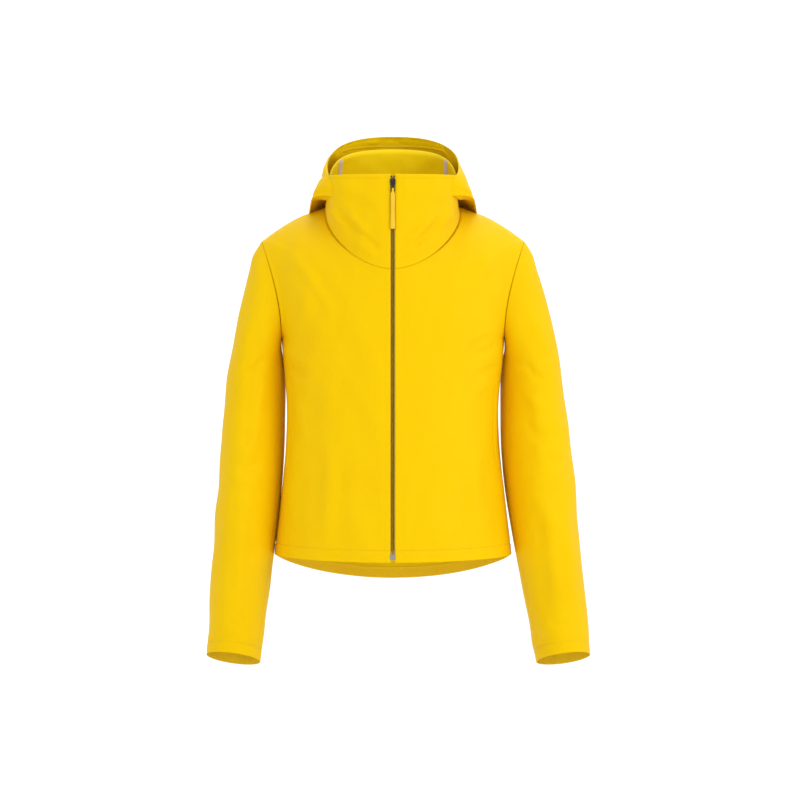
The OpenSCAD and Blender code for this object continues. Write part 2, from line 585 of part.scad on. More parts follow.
module hang_loop() color(zip_bronze)
  skin([for (k = [[-22, 0], [-18, 2.5], [0, 3.4], [18, 2.5], [22, 0]]) [for (z = [20, 26])
    let (v = (z - 13) / 42 * 0.22) neck_panel_point(v, k[0] / 180) + [0, -2.4 - k[1], 0]]], 0, 0.9, turn = 1);
module neck_label() color("#e9e4d8") lining(neck_panel_grid, [2, 3, 11, 13], turn = -1, trim = 0.1);

front(1);  // front_left
front(-1);  // front_right
back();
collar(1);  // collar_left
collar(-1);  // collar_right
collar_lining(1);  // collar_lining_left
collar_lining(-1);  // collar_lining_right
hood_neck_panel();
hood_cheek(1);  // hood_cheek_left
hood_cheek(-1);  // hood_cheek_right
hood_crown();
hood_brim();
hood_seam_tapes();
sleeve_front(1);  // sleeve_front_left
sleeve_back(1, upper_t);  // sleeve_back_upper_left
sleeve_back(1, lower_t);  // sleeve_back_lower_left
sleeve_under(1);  // sleeve_under_left
cuff_facing(1);  // cuff_facing_left
sleeve_front(-1);  // sleeve_front_right
sleeve_back(-1, upper_t);  // sleeve_back_upper_right
sleeve_back(-1, lower_t);  // sleeve_back_lower_right
sleeve_under(-1);  // sleeve_under_right
cuff_facing(-1);  // cuff_facing_right
hem_facing(1);  // hem_facing_left
hem_facing(-1);  // hem_facing_right
hem_facing_back();
side_seam_tape(1);  // side_seam_tape_left
side_seam_tape(-1);  // side_seam_tape_right
shoulder_tape(1);  // shoulder_tape_left
shoulder_tape(-1);  // shoulder_tape_right
storm_flap();
hang_loop();
neck_label();
zip_tape(1);  // zip_tape_left
zip_tape(-1);  // zip_tape_right
zip_coil(1);  // zip_coil_left
zip_coil(-1);  // zip_coil_right
zip_top_stops();
zip_retainer_box();
zip_insertion_pin();
front_slider();
front_pull_bail();
front_pull_grip();
pocket_welt(1);  // pocket_welt_left
pocket_bag(1);  // pocket_bag_left
pocket_welt(-1);  // pocket_welt_right
pocket_bag(-1);  // pocket_bag_right
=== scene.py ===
import math
import bpy
import bmesh
import numpy as np
from mathutils import Matrix, Vector


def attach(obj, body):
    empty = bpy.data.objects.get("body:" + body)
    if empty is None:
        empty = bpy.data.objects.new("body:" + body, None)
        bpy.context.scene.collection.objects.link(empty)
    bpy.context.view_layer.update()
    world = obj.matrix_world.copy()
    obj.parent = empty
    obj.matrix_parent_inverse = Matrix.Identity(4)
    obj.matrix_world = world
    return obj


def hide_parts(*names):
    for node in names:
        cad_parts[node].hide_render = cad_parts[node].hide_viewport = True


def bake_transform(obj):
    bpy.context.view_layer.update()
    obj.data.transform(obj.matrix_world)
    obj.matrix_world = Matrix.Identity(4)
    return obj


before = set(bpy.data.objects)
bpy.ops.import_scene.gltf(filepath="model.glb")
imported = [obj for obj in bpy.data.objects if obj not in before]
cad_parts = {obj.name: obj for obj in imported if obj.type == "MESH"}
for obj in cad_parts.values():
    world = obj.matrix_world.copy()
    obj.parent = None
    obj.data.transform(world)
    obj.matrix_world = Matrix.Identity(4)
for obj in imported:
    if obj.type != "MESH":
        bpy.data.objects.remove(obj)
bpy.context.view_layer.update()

MM = 0.001

# Sizes in millimetres, as the frame has them

BODY_LENGTH = 540
FRONT_HEM_DROP = 5
BACK_HEM_DROP = 48
HEM_WIDTH = 366
WAIST_WIDTH = 326
CHEST_WIDTH = 346
SHOULDER_WIDTH = 404
FRONT_DEPTH = 126
BACK_DEPTH = 128
SHOULDER_DROP = 56
ARMHOLE_DEPTH = 205
NECK_HALF_WIDTH = 100
SLEEVE_DROP = 644
UPPER_SLEEVE_OUT = 35
BICEPS_DEPTH = 124
CUFF_WIDTH = 82
CUFF_DEPTH = 92
CUFF_OUT = {1: 58, -1: 41}
CUFF_FORWARD = 34
CUFF_SLANT = 28
COLLAR_TOP = 38
NECKLINE_DROP = 105
COLLAR_HALF_WIDTH = 98
INNER_FOLD_TOP = 96
BRIM_TOP = 121
HOOD_HANG = 62
HOOD_HALF_WIDTH = 131
BRIM_WIDTH = 16
ZIP_LEAN = 22
ZIP_HALF = 3.2
CLOTH = 0.8

WAIST_V = 0.36
V_ARMPIT = 0.6
V_TIP = 0.9
CROWN_EDGE = 0.402
ROUND_ACROSS = 0.62
ROUND_ALONG = 0.6
BEHIND_SIDE = 28
FOLD = 5
V_BRIM = 1 - BRIM_WIDTH / 190
HEM_STITCH = 18.0
COLLAR_STITCH = 6
THREAD_PROUD = 0.12
POCKET_BAND = (-410, -268)
POCKET_SHARE = 0.845
WELT_HALF = 7.5
UNDER_SEAMS = (156, 256)
SHOULDER_HEAD = 3.2
COIL_X = 1.7
COIL_DEPTH = 0.9
SLIDER_Z = 25.5
WIRE_Y = -2.6
FLOOR_Z = -0.98
CAMERA_AWAY = 3.4
FIELD_WIDTH = 1.24
WHITE = (1, 1, 1, 1)
SIDES = ((1, "left"), (-1, "right"))


def vec(*values):
    return np.array(values, float)


FORWARD = vec(0, -1, 0)


# Smooth interpolation

def mix(a, b, t):
    return a + (b - a) * t


def ease(x, low, high):
    """0 below low, 1 above high, smooth between."""
    t = np.clip((x - low) / (high - low), 0, 1)
    return t * t * (3 - 2 * t)


def through(keys, t):
    """A smooth curve through keys of (t, value)."""
    last = len(keys) - 1
    i = 0
    while i < last - 1 and t >= keys[i + 1][0]:
        i += 1

    def slope(n):
        a, b = max(n - 1, 0), min(n + 1, last)
        return (keys[b][1] - keys[a][1]) / (keys[b][0] - keys[a][0])

    h = keys[i + 1][0] - keys[i][0]
    u = (t - keys[i][0]) / h
    return (keys[i][1] * (2 * u**3 - 3 * u**2 + 1) + slope(i) * (h * (u**3 - 2 * u**2 + u))
            + keys[i + 1][1] * (3 * u**2 - 2 * u**3) + slope(i + 1) * (h * (u**3 - u**2)))


def bezier(p, s):
    s = np.asarray(s, float)[..., None]
    return p[0] * (1 - s)**3 + p[1] * 3 * s * (1 - s)**2 + p[2] * 3 * s * s * (1 - s) + p[3] * s**3


def ring_point(q, degrees):
    """Points of a closed ring through four points in order, at these angles."""
    a = np.radians(np.asarray(degrees, float))[..., None]
    mid = (q[0] + q[2]) / 2
    return (mid + (q[0] - q[2]) / 2 * np.cos(a) + (q[1] - q[3]) / 2 * np.sin(a)
            + ((q[1] + q[3]) / 2 - mid) * np.sin(a)**2)


# The jacket's surfaces

FRONT_HEM_Z = -(BODY_LENGTH + FRONT_HEM_DROP)
ZIP_SLOPE = ZIP_LEAN / (COLLAR_TOP - FRONT_HEM_Z)
ZIP_ANGLE = math.atan(ZIP_SLOPE)
ZIP_BOTTOM, ZIP_TOP = FRONT_HEM_Z + 4, COLLAR_TOP - 3


def on_zip(z):
    return vec(0, -(FRONT_DEPTH - ZIP_LEAN) - (COLLAR_TOP - z) * ZIP_SLOPE, z)


TIP = vec(SHOULDER_WIDTH / 2 + 2, 5, -SHOULDER_DROP)
ARMPIT = vec(CHEST_WIDTH / 2, 0, -ARMHOLE_DEPTH)
NECK_POINT = vec(NECK_HALF_WIDTH, 12, -2)
ARMHOLE_FRONT = vec(CHEST_WIDTH / 2 + 5, -42, mix(-SHOULDER_DROP, -ARMHOLE_DEPTH, 0.58))
ARMHOLE_BACK = vec(CHEST_WIDTH / 2 + 8, 50, mix(-SHOULDER_DROP, -ARMHOLE_DEPTH, 0.53))
ARMHOLE = [TIP, ARMHOLE_FRONT, ARMPIT, ARMHOLE_BACK]
SIDE_KEYS = [(0, vec(HEM_WIDTH / 2)), (WAIST_V, vec(WAIST_WIDTH / 2)), (V_ARMPIT, vec(CHEST_WIDTH / 2))]


def side_point(v, front):
    if v <= V_ARMPIT:
        return vec(through(SIDE_KEYS, v)[0], 0, mix(-BODY_LENGTH, -ARMHOLE_DEPTH, v / V_ARMPIT))
    if v <= V_TIP:
        turn = 180 * (V_TIP - v) / (V_TIP - V_ARMPIT)
        return ring_point(ARMHOLE, turn if front else -turn)
    w = (v - V_TIP) / (1 - V_TIP)
    return TIP + (NECK_POINT - TIP) * w + vec(0, 0, 8 * math.sin(math.pi * w))


def row(v, middle, across, from_side, front=True):
    middle = np.asarray(middle, float)
    return v, np.array([middle, middle + across, side_point(v, front) + from_side])


FRONT_ROWS = [
    row(0, on_zip(FRONT_HEM_Z), (ROUND_ACROSS * HEM_WIDTH / 2, 0, 0), (0, -ROUND_ALONG * FRONT_DEPTH, 0)),
    row(WAIST_V, on_zip(mix(FRONT_HEM_Z, -ARMHOLE_DEPTH, 0.6)),
        (ROUND_ACROSS * WAIST_WIDTH / 2, 0, 0), (0, -ROUND_ALONG * FRONT_DEPTH, 0)),
    row(V_ARMPIT, on_zip(-ARMHOLE_DEPTH - 14), (ROUND_ACROSS * CHEST_WIDTH / 2, 0, 0),
        (-6, -ROUND_ALONG * FRONT_DEPTH, 0)),
    row(0.75, on_zip(-ARMHOLE_DEPTH + 24), (0.58 * CHEST_WIDTH / 2, 0, 4), (-36, -36, 4)),
    row(V_TIP, on_zip(-NECKLINE_DROP - 34), (0.56 * CHEST_WIDTH / 2, 0, 8), (-40, -56, 13)),
    row(0.95, on_zip(-NECKLINE_DROP - 16), (0.45 * CHEST_WIDTH / 2, 0, 6), (-10, -64, -14)),
    row(1, on_zip(-NECKLINE_DROP), (0.34 * CHEST_WIDTH / 2, 0, 1), (18, -74, -34)),
]
BACK_ROWS = [
    row(0, (0, BACK_DEPTH, -(BODY_LENGTH + BACK_HEM_DROP)), (ROUND_ACROSS * HEM_WIDTH / 2, 0, 0),
        (0, ROUND_ALONG * BACK_DEPTH, -0.3 * BACK_HEM_DROP), False),
    row(WAIST_V, (0, BACK_DEPTH - 14, mix(-BODY_LENGTH, -ARMHOLE_DEPTH, 0.58)),
        (ROUND_ACROSS * WAIST_WIDTH / 2, 0, 0), (0, ROUND_ALONG * (BACK_DEPTH - 10), 0), False),
    row(V_ARMPIT, (0, BACK_DEPTH - 4, -ARMHOLE_DEPTH - 2), (ROUND_ACROSS * CHEST_WIDTH / 2, 0, 0),
        (-4, ROUND_ALONG * BACK_DEPTH - 2, 0), False),
    row(0.75, (0, BACK_DEPTH - 4, -ARMHOLE_DEPTH + 62), (0.6 * CHEST_WIDTH / 2, 0, 2), (-30, 38, 6), False),
    row(V_TIP, (0, BACK_DEPTH - 14, -SHOULDER_DROP - 22), (0.55 * CHEST_WIDTH / 2, 0, 4), (-40, 56, 13), False),
    row(1, (0, 86, 12), (0.32 * CHEST_WIDTH / 2, 0, 0), (0, 42, 4), False),
]
COLLAR_CORNER = vec(COLLAR_HALF_WIDTH, -61, COLLAR_TOP + 1)
NECKLINE = FRONT_ROWS[-1][1]
COLLAR_ROWS = [
    (0, np.array([NECKLINE[0], NECKLINE[1], NECKLINE[2], NECK_POINT])),
    (0.55, np.array([on_zip(mix(-NECKLINE_DROP, COLLAR_TOP, 0.55)),
                     on_zip(mix(-NECKLINE_DROP, COLLAR_TOP, 0.57)) + vec(62, 0, 0),
                     (COLLAR_HALF_WIDTH + 7, -78, -4), (NECK_POINT + COLLAR_CORNER) / 2 + vec(0.5, 0, -2)])),
    (1, np.array([on_zip(COLLAR_TOP), on_zip(COLLAR_TOP) + vec(66, 0, 0),
                  (COLLAR_HALF_WIDTH - 2, -92, COLLAR_TOP), COLLAR_CORNER])),
]


def collar_point(v, s):
    return bezier(through(COLLAR_ROWS, v), s)


def collar_edge(v):
    return collar_point(v, 1.0)


NECK_PANEL_ROWS = [
    (0, np.array([collar_edge(0) + (-1, 1, 1), NECK_POINT + (-3, 48, 7), (60, 88, 13), (0, 88, 13)])),
    (0.22, np.array([collar_edge(0.5) + (-1.5, 1.5, 1), (95, 46, 44), (68, 85, 55), (0, 85, 55)])),
    (0.42, np.array([collar_edge(0.93) + (-3, 4, 0), (91, 30, INNER_FOLD_TOP - 23),
                     (70, 80, INNER_FOLD_TOP - 8), (0, 80, INNER_FOLD_TOP - 8)])),
    (0.47, np.array([collar_edge(1) + (-2.2, 4, 0), (92, 32, INNER_FOLD_TOP - 17),
                     (72, 80 + FOLD, INNER_FOLD_TOP), (0, 80 + FOLD, INNER_FOLD_TOP)])),
    (0.52, np.array([collar_edge(1) + (-0.4, 4, -3), (97, 34, INNER_FOLD_TOP - 22),
                     (76, 80 + 2 * FOLD, INNER_FOLD_TOP - 7), (0, 80 + 2 * FOLD, INNER_FOLD_TOP - 7)])),
    (0.76, np.array([(99, -46, 26), (112, 28, 16), (96, 104, 14), (0, 108, 14)], float)),
    (1, np.array([(101, -38, 16), (HOOD_HALF_WIDTH + 12, 6, 37), (118, 125, -HOOD_HANG + 1),
                  (0, 131.5, -HOOD_HANG - 1)], float)),
]


def on_collar(v, s, off=0.45):
    p = collar_point(v, s)
    up = collar_point(v + 0.01, s) - collar_point(v - 0.01, s)
    across = collar_point(v, s + 0.005) - collar_point(v, s - 0.005)
    n = np.cross(up, across)
    return p - n / np.linalg.norm(n) * off


OUTER_ROWS = [
    (0, np.array([on_collar(0.67, 0.66, -0.6), (HOOD_HALF_WIDTH + 43, -60, 22), (146, 130, -HOOD_HANG - 1),
                  (0, 136, -HOOD_HANG - 3)])),
    (0.12, np.array([on_collar(0.71, 0.67, -0.6), (HOOD_HALF_WIDTH + 39, -62, 26), (148, 148, -HOOD_HANG + 6),
                     (0, 153, -HOOD_HANG + 4)])),
    (0.5, np.array([on_collar(0.84, 0.68, -0.6), (HOOD_HALF_WIDTH + 14, -84, 26), (150, 162, 22), (0, 164, 16)])),
    (0.82, np.array([on_collar(0.94, 0.76, -0.6), (HOOD_HALF_WIDTH - 3, -52, 54), (108, 140, 92), (0, 144, 88)])),
    (1, np.array([on_collar(0.985, 0.88), (113, 8, BRIM_TOP - 38), (82, 122, BRIM_TOP + 1), (0, 125, BRIM_TOP)])),
]
U_LINE = OUTER_ROWS[0][1]
LEG_ROWS = NECK_PANEL_ROWS[:-1] + [
    (0.9, np.array([(103, -38, 4), (HOOD_HALF_WIDTH + 8, 8, 24), (116, 122, -40), (0, 128, -44)], float)),
    (1, U_LINE + np.array([(0, 0, 0.6), (-2, -1, 0.8), (-1, -1, 0.8), (0, -1, 0.8)])),
]
HOOD_SIDE = [(-60, 141), (-20, 134), (8, 125), (31, 117), (51, 109.5), (73, 104), (100, 97)]


def drawn_in(grid):
    """The hood's sides fall in a straight slope from the rim to the shoulders, and don't bulge past it."""
    z = grid[..., 2]
    limit = np.interp(z, [q[0] for q in HOOD_SIDE], [q[1] for q in HOOD_SIDE])
    size = np.abs(grid[..., 0])
    over = np.maximum(size - limit + 4, 0)
    size = np.where(over > 0, limit - 4 + 4 * (1 - np.exp(-over / 4)), size)
    return np.stack([np.sign(grid[..., 0]) * size, grid[..., 1], z], -1)


def hood_grid(rows, vs, ss):
    """Rows of a hood surface; s runs from -1 at the right front corner to 1 at the left one."""
    grid = np.array([bezier(through(rows, v), 1 - np.abs(ss)) for v in vs])
    grid[..., 0] *= np.sign(ss)
    return grid


def side_x(z):
    return through(SIDE_KEYS, V_ARMPIT * (z + BODY_LENGTH) / (BODY_LENGTH - ARMHOLE_DEPTH))[0]


def beside_body(z, gap, back=0.0):
    return vec(side_x(z) + gap, back, z)


def sleeve_rings(out):
    biceps_z = -ARMHOLE_DEPTH - 55
    cuff_z = -SHOULDER_DROP - SLEEVE_DROP
    biceps_in = beside_body(biceps_z, 0.3, BEHIND_SIDE)
    biceps_out = vec(TIP[0] + UPPER_SLEEVE_OUT + 0.35 * out, 2, biceps_z + 6)
    elbow_z = mix(biceps_z, cuff_z, 0.38)
    elbow_in = beside_body(elbow_z, 2.6, 0.5 * BEHIND_SIDE)
    cuff = vec(TIP[0] + out, TIP[1] - CUFF_FORWARD, cuff_z)
    cuff_ring = np.array([
        cuff + (CUFF_WIDTH / 2, 0, 5), cuff + (0, -CUFF_DEPTH / 2, CUFF_SLANT / 2),
        cuff - (CUFF_WIDTH / 2, 0, 5), cuff + (0, CUFF_DEPTH / 2, -CUFF_SLANT / 2)])
    biceps_mid = (biceps_in + biceps_out) / 2
    elbow_out = mix(biceps_out, cuff_ring[0], 0.4) + (4, 0, 0)
    elbow_mid = (elbow_in + elbow_out) / 2
    elbow_depth = mix(BICEPS_DEPTH, CUFF_DEPTH, 0.4)
    forward = 0.35 * CUFF_FORWARD
    return [
        (0, np.array(ARMHOLE)),
        (0.1, np.array([
            (TIP[0] + 0.64 * UPPER_SLEEVE_OUT + 0.05 * out, 4, mix(TIP[2], biceps_out[2], 0.31)),
            mix(ARMHOLE_FRONT, biceps_mid, 0.42) + (-1, -27, 4),
            beside_body(-ARMHOLE_DEPTH - 20, 2, 0.6 * BEHIND_SIDE),
            mix(ARMHOLE_BACK, biceps_mid, 0.42) + (-1, 27, 4)])),
        (0.27, np.array([biceps_out, biceps_mid - (0, BICEPS_DEPTH / 2, 0), biceps_in,
                         biceps_mid + (0, BICEPS_DEPTH / 2, 0)])),
        (0.56, np.array([elbow_out, elbow_mid - (0, elbow_depth / 2 + forward, 0), elbow_in,
                         elbow_mid + (0, elbow_depth / 2 - forward, 0)])),
        (1, cuff_ring),
    ]


# Folds in the cloth

def near_path(points, path):
    """For each point in a plane: its distance to a path, and how far along the path it is, 0 to 1."""
    path = np.asarray(path, float)
    lengths = np.linalg.norm(np.diff(path, axis=0), axis=1)
    starts = np.concatenate([[0], np.cumsum(lengths)])
    best = np.full(points.shape[:-1], 1e9)
    along = np.zeros(points.shape[:-1])
    for a, b, length, start in zip(path[:-1], path[1:], lengths, starts):
        t = np.clip(((points - a) @ (b - a)) / length**2, 0, 1)
        d = np.linalg.norm(points - (a + t[..., None] * (b - a)), axis=-1)
        closer = d < best
        best = np.where(closer, d, best)
        along = np.where(closer, (start + t * length) / starts[-1], along)
    return best, along


def crease(points, path, width, height, taper=0.3):
    """A ridge (height over 0) or a valley along a path, fading to nothing at its ends."""
    d, along = near_path(points, path)
    fade = ease(along, 0, taper) * (1 - ease(along, 1 - taper, 1))
    return height * np.exp(-(d / width)**2) * fade


def ripple(points, seed, waves, size, height):
    """Soft undulations: waves of random direction and phase, size as (across, up) wavelengths."""
    rng = np.random.default_rng(seed)
    total = np.zeros(points.shape[:-1])
    for _ in range(waves):
        turn = rng.uniform(-0.5, 0.5)
        kx = rng.uniform(0.7, 1.4) / size[0]
        kz = rng.uniform(0.7, 1.4) / size[1] * rng.choice([-1, 1])
        phase = rng.uniform(0, 2 * math.pi)
        total += np.sin(2 * math.pi * (points[..., 0] * (kx + turn * kz) + points[..., 1] * kz) + phase)
    return height * total / math.sqrt(waves)


# Creases as ((x, z) path, width, height), seen from the front. The wearer's left is +x.
BODY_CREASES = [
    ([(-164, -66), (-140, -100), (-108, -150), (-76, -200)], 11, 2.2),
    ([(-150, -96), (-122, -140), (-96, -178)], 9, -1.6),
    ([(-120, -70), (-92, -112), (-70, -160)], 14, 1.2),
    ([(166, -66), (140, -102), (110, -150), (80, -200)], 11, 2.0),
    ([(152, -98), (124, -142), (98, -180)], 9, -1.5),
    ([(122, -72), (94, -114), (72, -160)], 14, 1.2),
    ([(-172, -214), (-150, -236), (-118, -252)], 7, 1.8),
    ([(-168, -246), (-150, -256), (-128, -262)], 4, -2.2),
    ([(-160, -270), (-140, -277), (-120, -276)], 8, 1.6),
    ([(-150, -290), (-138, -330), (-128, -380)], 10, 1.6),
    ([(168, -210), (146, -226), (112, -238)], 6, -1.6),
    ([(150, -196), (131, -203), (106, -222)], 5, 1.8),
    ([(164, -250), (140, -258), (118, -268)], 5, -1.8),
    ([(158, -272), (136, -282), (118, -296)], 8, 1.5),
    ([(-99, -330), (-96, -420), (-104, -545)], 12, 2.2),
    ([(-76, -380), (-74, -450), (-80, -545)], 12, -1.4),
    ([(-138, -400), (-140, -470), (-150, -545)], 12, -1.6),
    ([(124, -360), (126, -450), (134, -545)], 11, 2.2),
    ([(104, -390), (102, -460), (106, -545)], 12, -1.4),
    ([(60, -420), (62, -480), (58, -545)], 14, 1.0),
    ([(150, -420), (156, -480), (160, -545)], 9, -1.4),
]
COLLAR_CREASES = [
    ([(-96, -6), (-86, -20), (-74, -40)], 5, 2.6),
    ([(-88, -10), (-74, -28), (-48, -54)], 6, -2.8),
    ([(-72, -14), (-56, -34), (-32, -58)], 7, 2.2),
    ([(-50, -48), (-36, -62), (-18, -76)], 4, -1.6),
    ([(-60, -62), (-42, -74), (-22, -90)], 8, 1.6),
    ([(96, -8), (84, -24), (66, -44)], 6, 2.4),
    ([(80, -18), (62, -42), (24, -76)], 6, -2.6),
    ([(66, -16), (46, -44), (18, -70)], 7, 2.0),
    ([(58, -58), (40, -76), (20, -92)], 8, 1.6),
    ([(-92, 26), (-60, 14), (-24, 6)], 9, 1.3),
    ([(92, 24), (60, 10), (26, 4)], 9, 1.3),
    ([(-84, 4), (-56, -6), (-20, -18)], 8, -1.3),
    ([(84, 0), (58, -12), (22, -26)], 8, -1.3),
]


def front_folds(p):
    xz = p[..., [0, 2]]
    total = 1.5 * sum(crease(xz, *c) for c in BODY_CREASES + COLLAR_CREASES)
    total += ripple(xz, 11, 5, (85, 420), 1.3) + ripple(xz, 12, 6, (46, 120), 0.42)
    quiet = ease(np.abs(p[..., 0]), 7, 26)
    return total * quiet


BACK_CREASES = [
    ([(-150, -120), (-90, -150), (-20, -160)], 16, 2.0),
    ([(150, -120), (90, -156), (24, -170)], 16, 2.0),
    ([(-160, -210), (-120, -250), (-84, -330)], 14, 2.0),
    ([(160, -210), (120, -256), (90, -340)], 14, 2.0),
    ([(-60, -300), (-66, -420), (-80, -580)], 16, 2.4),
    ([(20, -320), (16, -440), (10, -580)], 18, -2.0),
    ([(84, -340), (92, -440), (100, -570)], 16, 2.2),
    ([(-130, -340), (-136, -440), (-150, -560)], 14, -1.8),
]


def back_folds(p):
    xz = p[..., [0, 2]]
    total = sum(crease(xz, *c) for c in BACK_CREASES)
    return total + ripple(xz, 21, 5, (110, 420), 1.2) + ripple(xz, 22, 6, (50, 120), 0.3)


HOOD_CREASES = [
    ([(-96, 18), (-108, -2), (-112, -30)], 6, -2.4),
    ([(-104, 26), (-120, 10), (-124, -16)], 7, 2.0),
    ([(-100, 42), (-112, 40), (-122, 36)], 4, -1.8),
    ([(-100, 50), (-110, 56), (-118, 60)], 3.5, 1.5),
    ([(96, 14), (107, -4), (110, -32)], 6, -2.4),
    ([(104, 24), (120, 8), (124, -18)], 7, 2.0),
    ([(86, 12), (100, 12), (112, 10)], 3.5, 1.6),
    ([(112, -4), (120, -10), (128, -14)], 3, -1.8),
]
SLEEVE_CREASES = {
    1: [([(206, -160), (224, -196), (238, -240)], 10, 1.8), ([(196, -240), (214, -262), (236, -272)], 6, -1.8),
        ([(186, -270), (206, -300), (232, -318)], 9, 2.0), ([(196, -330), (216, -352), (240, -366)], 8, -1.6),
        ([(210, -250), (222, -330), (232, -420)], 14, 2.0), ([(236, -430), (240, -520), (250, -620)], 12, 2.0),
        ([(214, -440), (222, -540), (236, -660)], 12, -1.6), ([(262, -420), (268, -520), (276, -640)], 10, 1.4),
        ([(226, -380), (246, -396), (262, -400)], 7, -1.6), ([(232, -636), (250, -644), (272, -640)], 6, -1.2)],
    -1: [([(-206, -160), (-222, -196), (-236, -240)], 10, 1.8), ([(-192, -236), (-212, -256), (-234, -262)], 6, -1.8),
         ([(-186, -262), (-200, -300), (-206, -350)], 8, 2.2), ([(-208, -250), (-220, -320), (-226, -400)], 10, -1.8),
         ([(-196, -340), (-216, -372), (-236, -384)], 8, 1.8), ([(-190, -380), (-212, -404), (-240, -412)], 7, -1.8),
         ([(-228, -420), (-232, -520), (-236, -640)], 12, 2.0), ([(-206, -440), (-214, -540), (-222, -650)], 12, -1.6),
         ([(-250, -420), (-254, -520), (-258, -630)], 10, 1.4), ([(-218, -634), (-236, -642), (-258, -638)], 6, -1.2)],
}


# Meshes

def grid_normals(grid, wrap=False):
    up = np.gradient(grid, axis=0)
    if wrap:
        across = np.roll(grid, -1, axis=1) - np.roll(grid, 1, axis=1)
    else:
        across = np.gradient(grid, axis=1)
    n = np.cross(up, across)
    return n / np.maximum(np.linalg.norm(n, axis=-1, keepdims=True), 1e-9)


def outward_of(grid, towards):
    n = grid_normals(grid)
    return n if np.sum(n * towards) > 0 else -n


def mirrored(array):
    return array * (-1, 1, 1)


def arc(grid, axis):
    """Distance along the rows (axis 1) or columns (axis 0) of a grid, from its first point."""
    steps = np.linalg.norm(np.diff(grid, axis=axis), axis=-1)
    return np.insert(np.cumsum(steps, axis=axis), 0, 0, axis=axis)


def spread(count, length, fine=(0.5, 1.0, 1.6, 2.4, 3.4, 4.8, 6.6, 9.0), first=True):
    """Values from 0 to 1, closer together near the ends, for a strip length mm long."""
    near = np.array(fine) / length
    values = list(np.linspace(0, 1, count))
    if first:
        values = [x for x in values if x == 0 or x > near[-1] + 0.3 / count] + list(near)
    values = [x for x in values if x == 1 or x < 1 - near[-1] - 0.3 / count] + list(1 - near)
    return np.array(sorted(values))


def seam_dip(d, depth=0.75):
    """The shape of a sewn and taped seam, at distance d from it."""
    return depth * np.exp(-(d / 1.1)**2) - 0.28 * depth * np.exp(-((d - 3.4) / 1.7)**2)


def near_seam(d, width=9):
    """How freely the cloth may fold at distance d from a seam: a tenth at the seam itself."""
    return ease(d, 0, width) * 0.9 + 0.1


def sewn_neck(grid):
    """The collar's seam shows at the sides of the neck, and is pressed flat towards the zip."""
    return ease(np.abs(grid[..., 0]), 54, 86)


def turned_hem(d, step=0.35):
    """A hem's stitched groove, and the small step where the cloth is double; d is the distance from its edge."""
    return step * ease(HEM_STITCH - d, 0, 2) - 0.55 * np.exp(-((d - HEM_STITCH) / 1.3)**2)


def linked(name, data):
    """A new object at the origin of the scene."""
    thing = bpy.data.objects.new(name, data)
    bpy.context.scene.collection.objects.link(thing)
    return thing


def smooth(mesh, degrees=None):
    mesh.polygons.foreach_set("use_smooth", np.ones(len(mesh.polygons), bool))
    if degrees:
        mesh.set_sharp_from_angle(angle=math.radians(degrees))


def cloth(name, grid, outward, thick, materials, wrap=False):
    """A closed skin: grid is its outer face in mm, and outward its outward directions."""
    rows, cols = grid.shape[:2]
    edge = np.zeros((rows, cols))
    edge[0], edge[-1] = 1, 1
    if not wrap:
        edge[:, 0], edge[:, -1] = 1, 1
    outer = grid - outward * (edge * thick * 0.28)[..., None]
    inner = grid - outward * (thick * (1 - 0.28 * edge))[..., None]
    verts = np.concatenate([outer.reshape(-1, 3), inner.reshape(-1, 3)]) * MM
    n = rows * cols
    base = np.arange(cols if wrap else cols - 1)
    following = (base + 1) % cols
    a, b = (np.arange(rows - 1)[:, None] * cols + i for i in (base, following))
    flip = np.sum(np.cross(grid[1, 0] - grid[0, 0], grid[0, 1] - grid[0, 0]) * outward[0, 0]) > 0
    outside = np.stack([a, a + cols, b + cols, b] if flip else [a, b, b + cols, a + cols], -1).reshape(-1, 4)
    top = (rows - 1) * cols
    walls = [(following, base), (top + base, top + following)]
    if not wrap:
        up = np.arange(rows - 1) * cols
        walls += [(up, up + cols), (up + cols + cols - 1, up + cols - 1)]
    rim = np.concatenate([np.stack([p, q, q + n, p + n], -1) for p, q in walls])
    if flip:
        rim = rim[:, ::-1]
    faces = np.concatenate([outside, outside[:, ::-1] + n, rim])
    mesh = bpy.data.meshes.new(name)
    mesh.vertices.add(len(verts))
    mesh.vertices.foreach_set("co", verts.astype(np.float32).ravel())
    mesh.loops.add(faces.size)
    mesh.loops.foreach_set("vertex_index", faces.astype(np.int32).ravel())
    mesh.polygons.add(len(faces))
    mesh.polygons.foreach_set("loop_start", np.arange(0, faces.size, 4, dtype=np.int32))
    slots = np.zeros(len(faces), np.int32)
    if len(materials) > 1:
        slots[len(outside):2 * len(outside)] = 1
    mesh.polygons.foreach_set("material_index", slots)
    mesh.update(calc_edges=True)
    u, v = arc(grid, 1), arc(grid, 0)
    if wrap:
        u = np.tile(np.linspace(0, u[len(u) // 2, -1], cols), (rows, 1))
    flat = np.tile(np.stack([u, v], -1).reshape(-1, 2) * MM, (2, 1))
    mesh.uv_layers.new(name="cut").data.foreach_set("uv", flat[faces.ravel()].astype(np.float32).ravel())
    for material in materials:
        mesh.materials.append(material)
    smooth(mesh, 60)
    mesh.validate()
    return linked(name, mesh)


def declare(grid, wrap=False):
    """Works out the measured width and length of the flat piece of cloth this was cut as; nothing uses them."""
    width = round(arc(grid, 1)[:, -1].max() * MM * (1.02 if wrap else 1), 4)
    length = round(arc(grid, 0)[-1].max() * MM, 4)


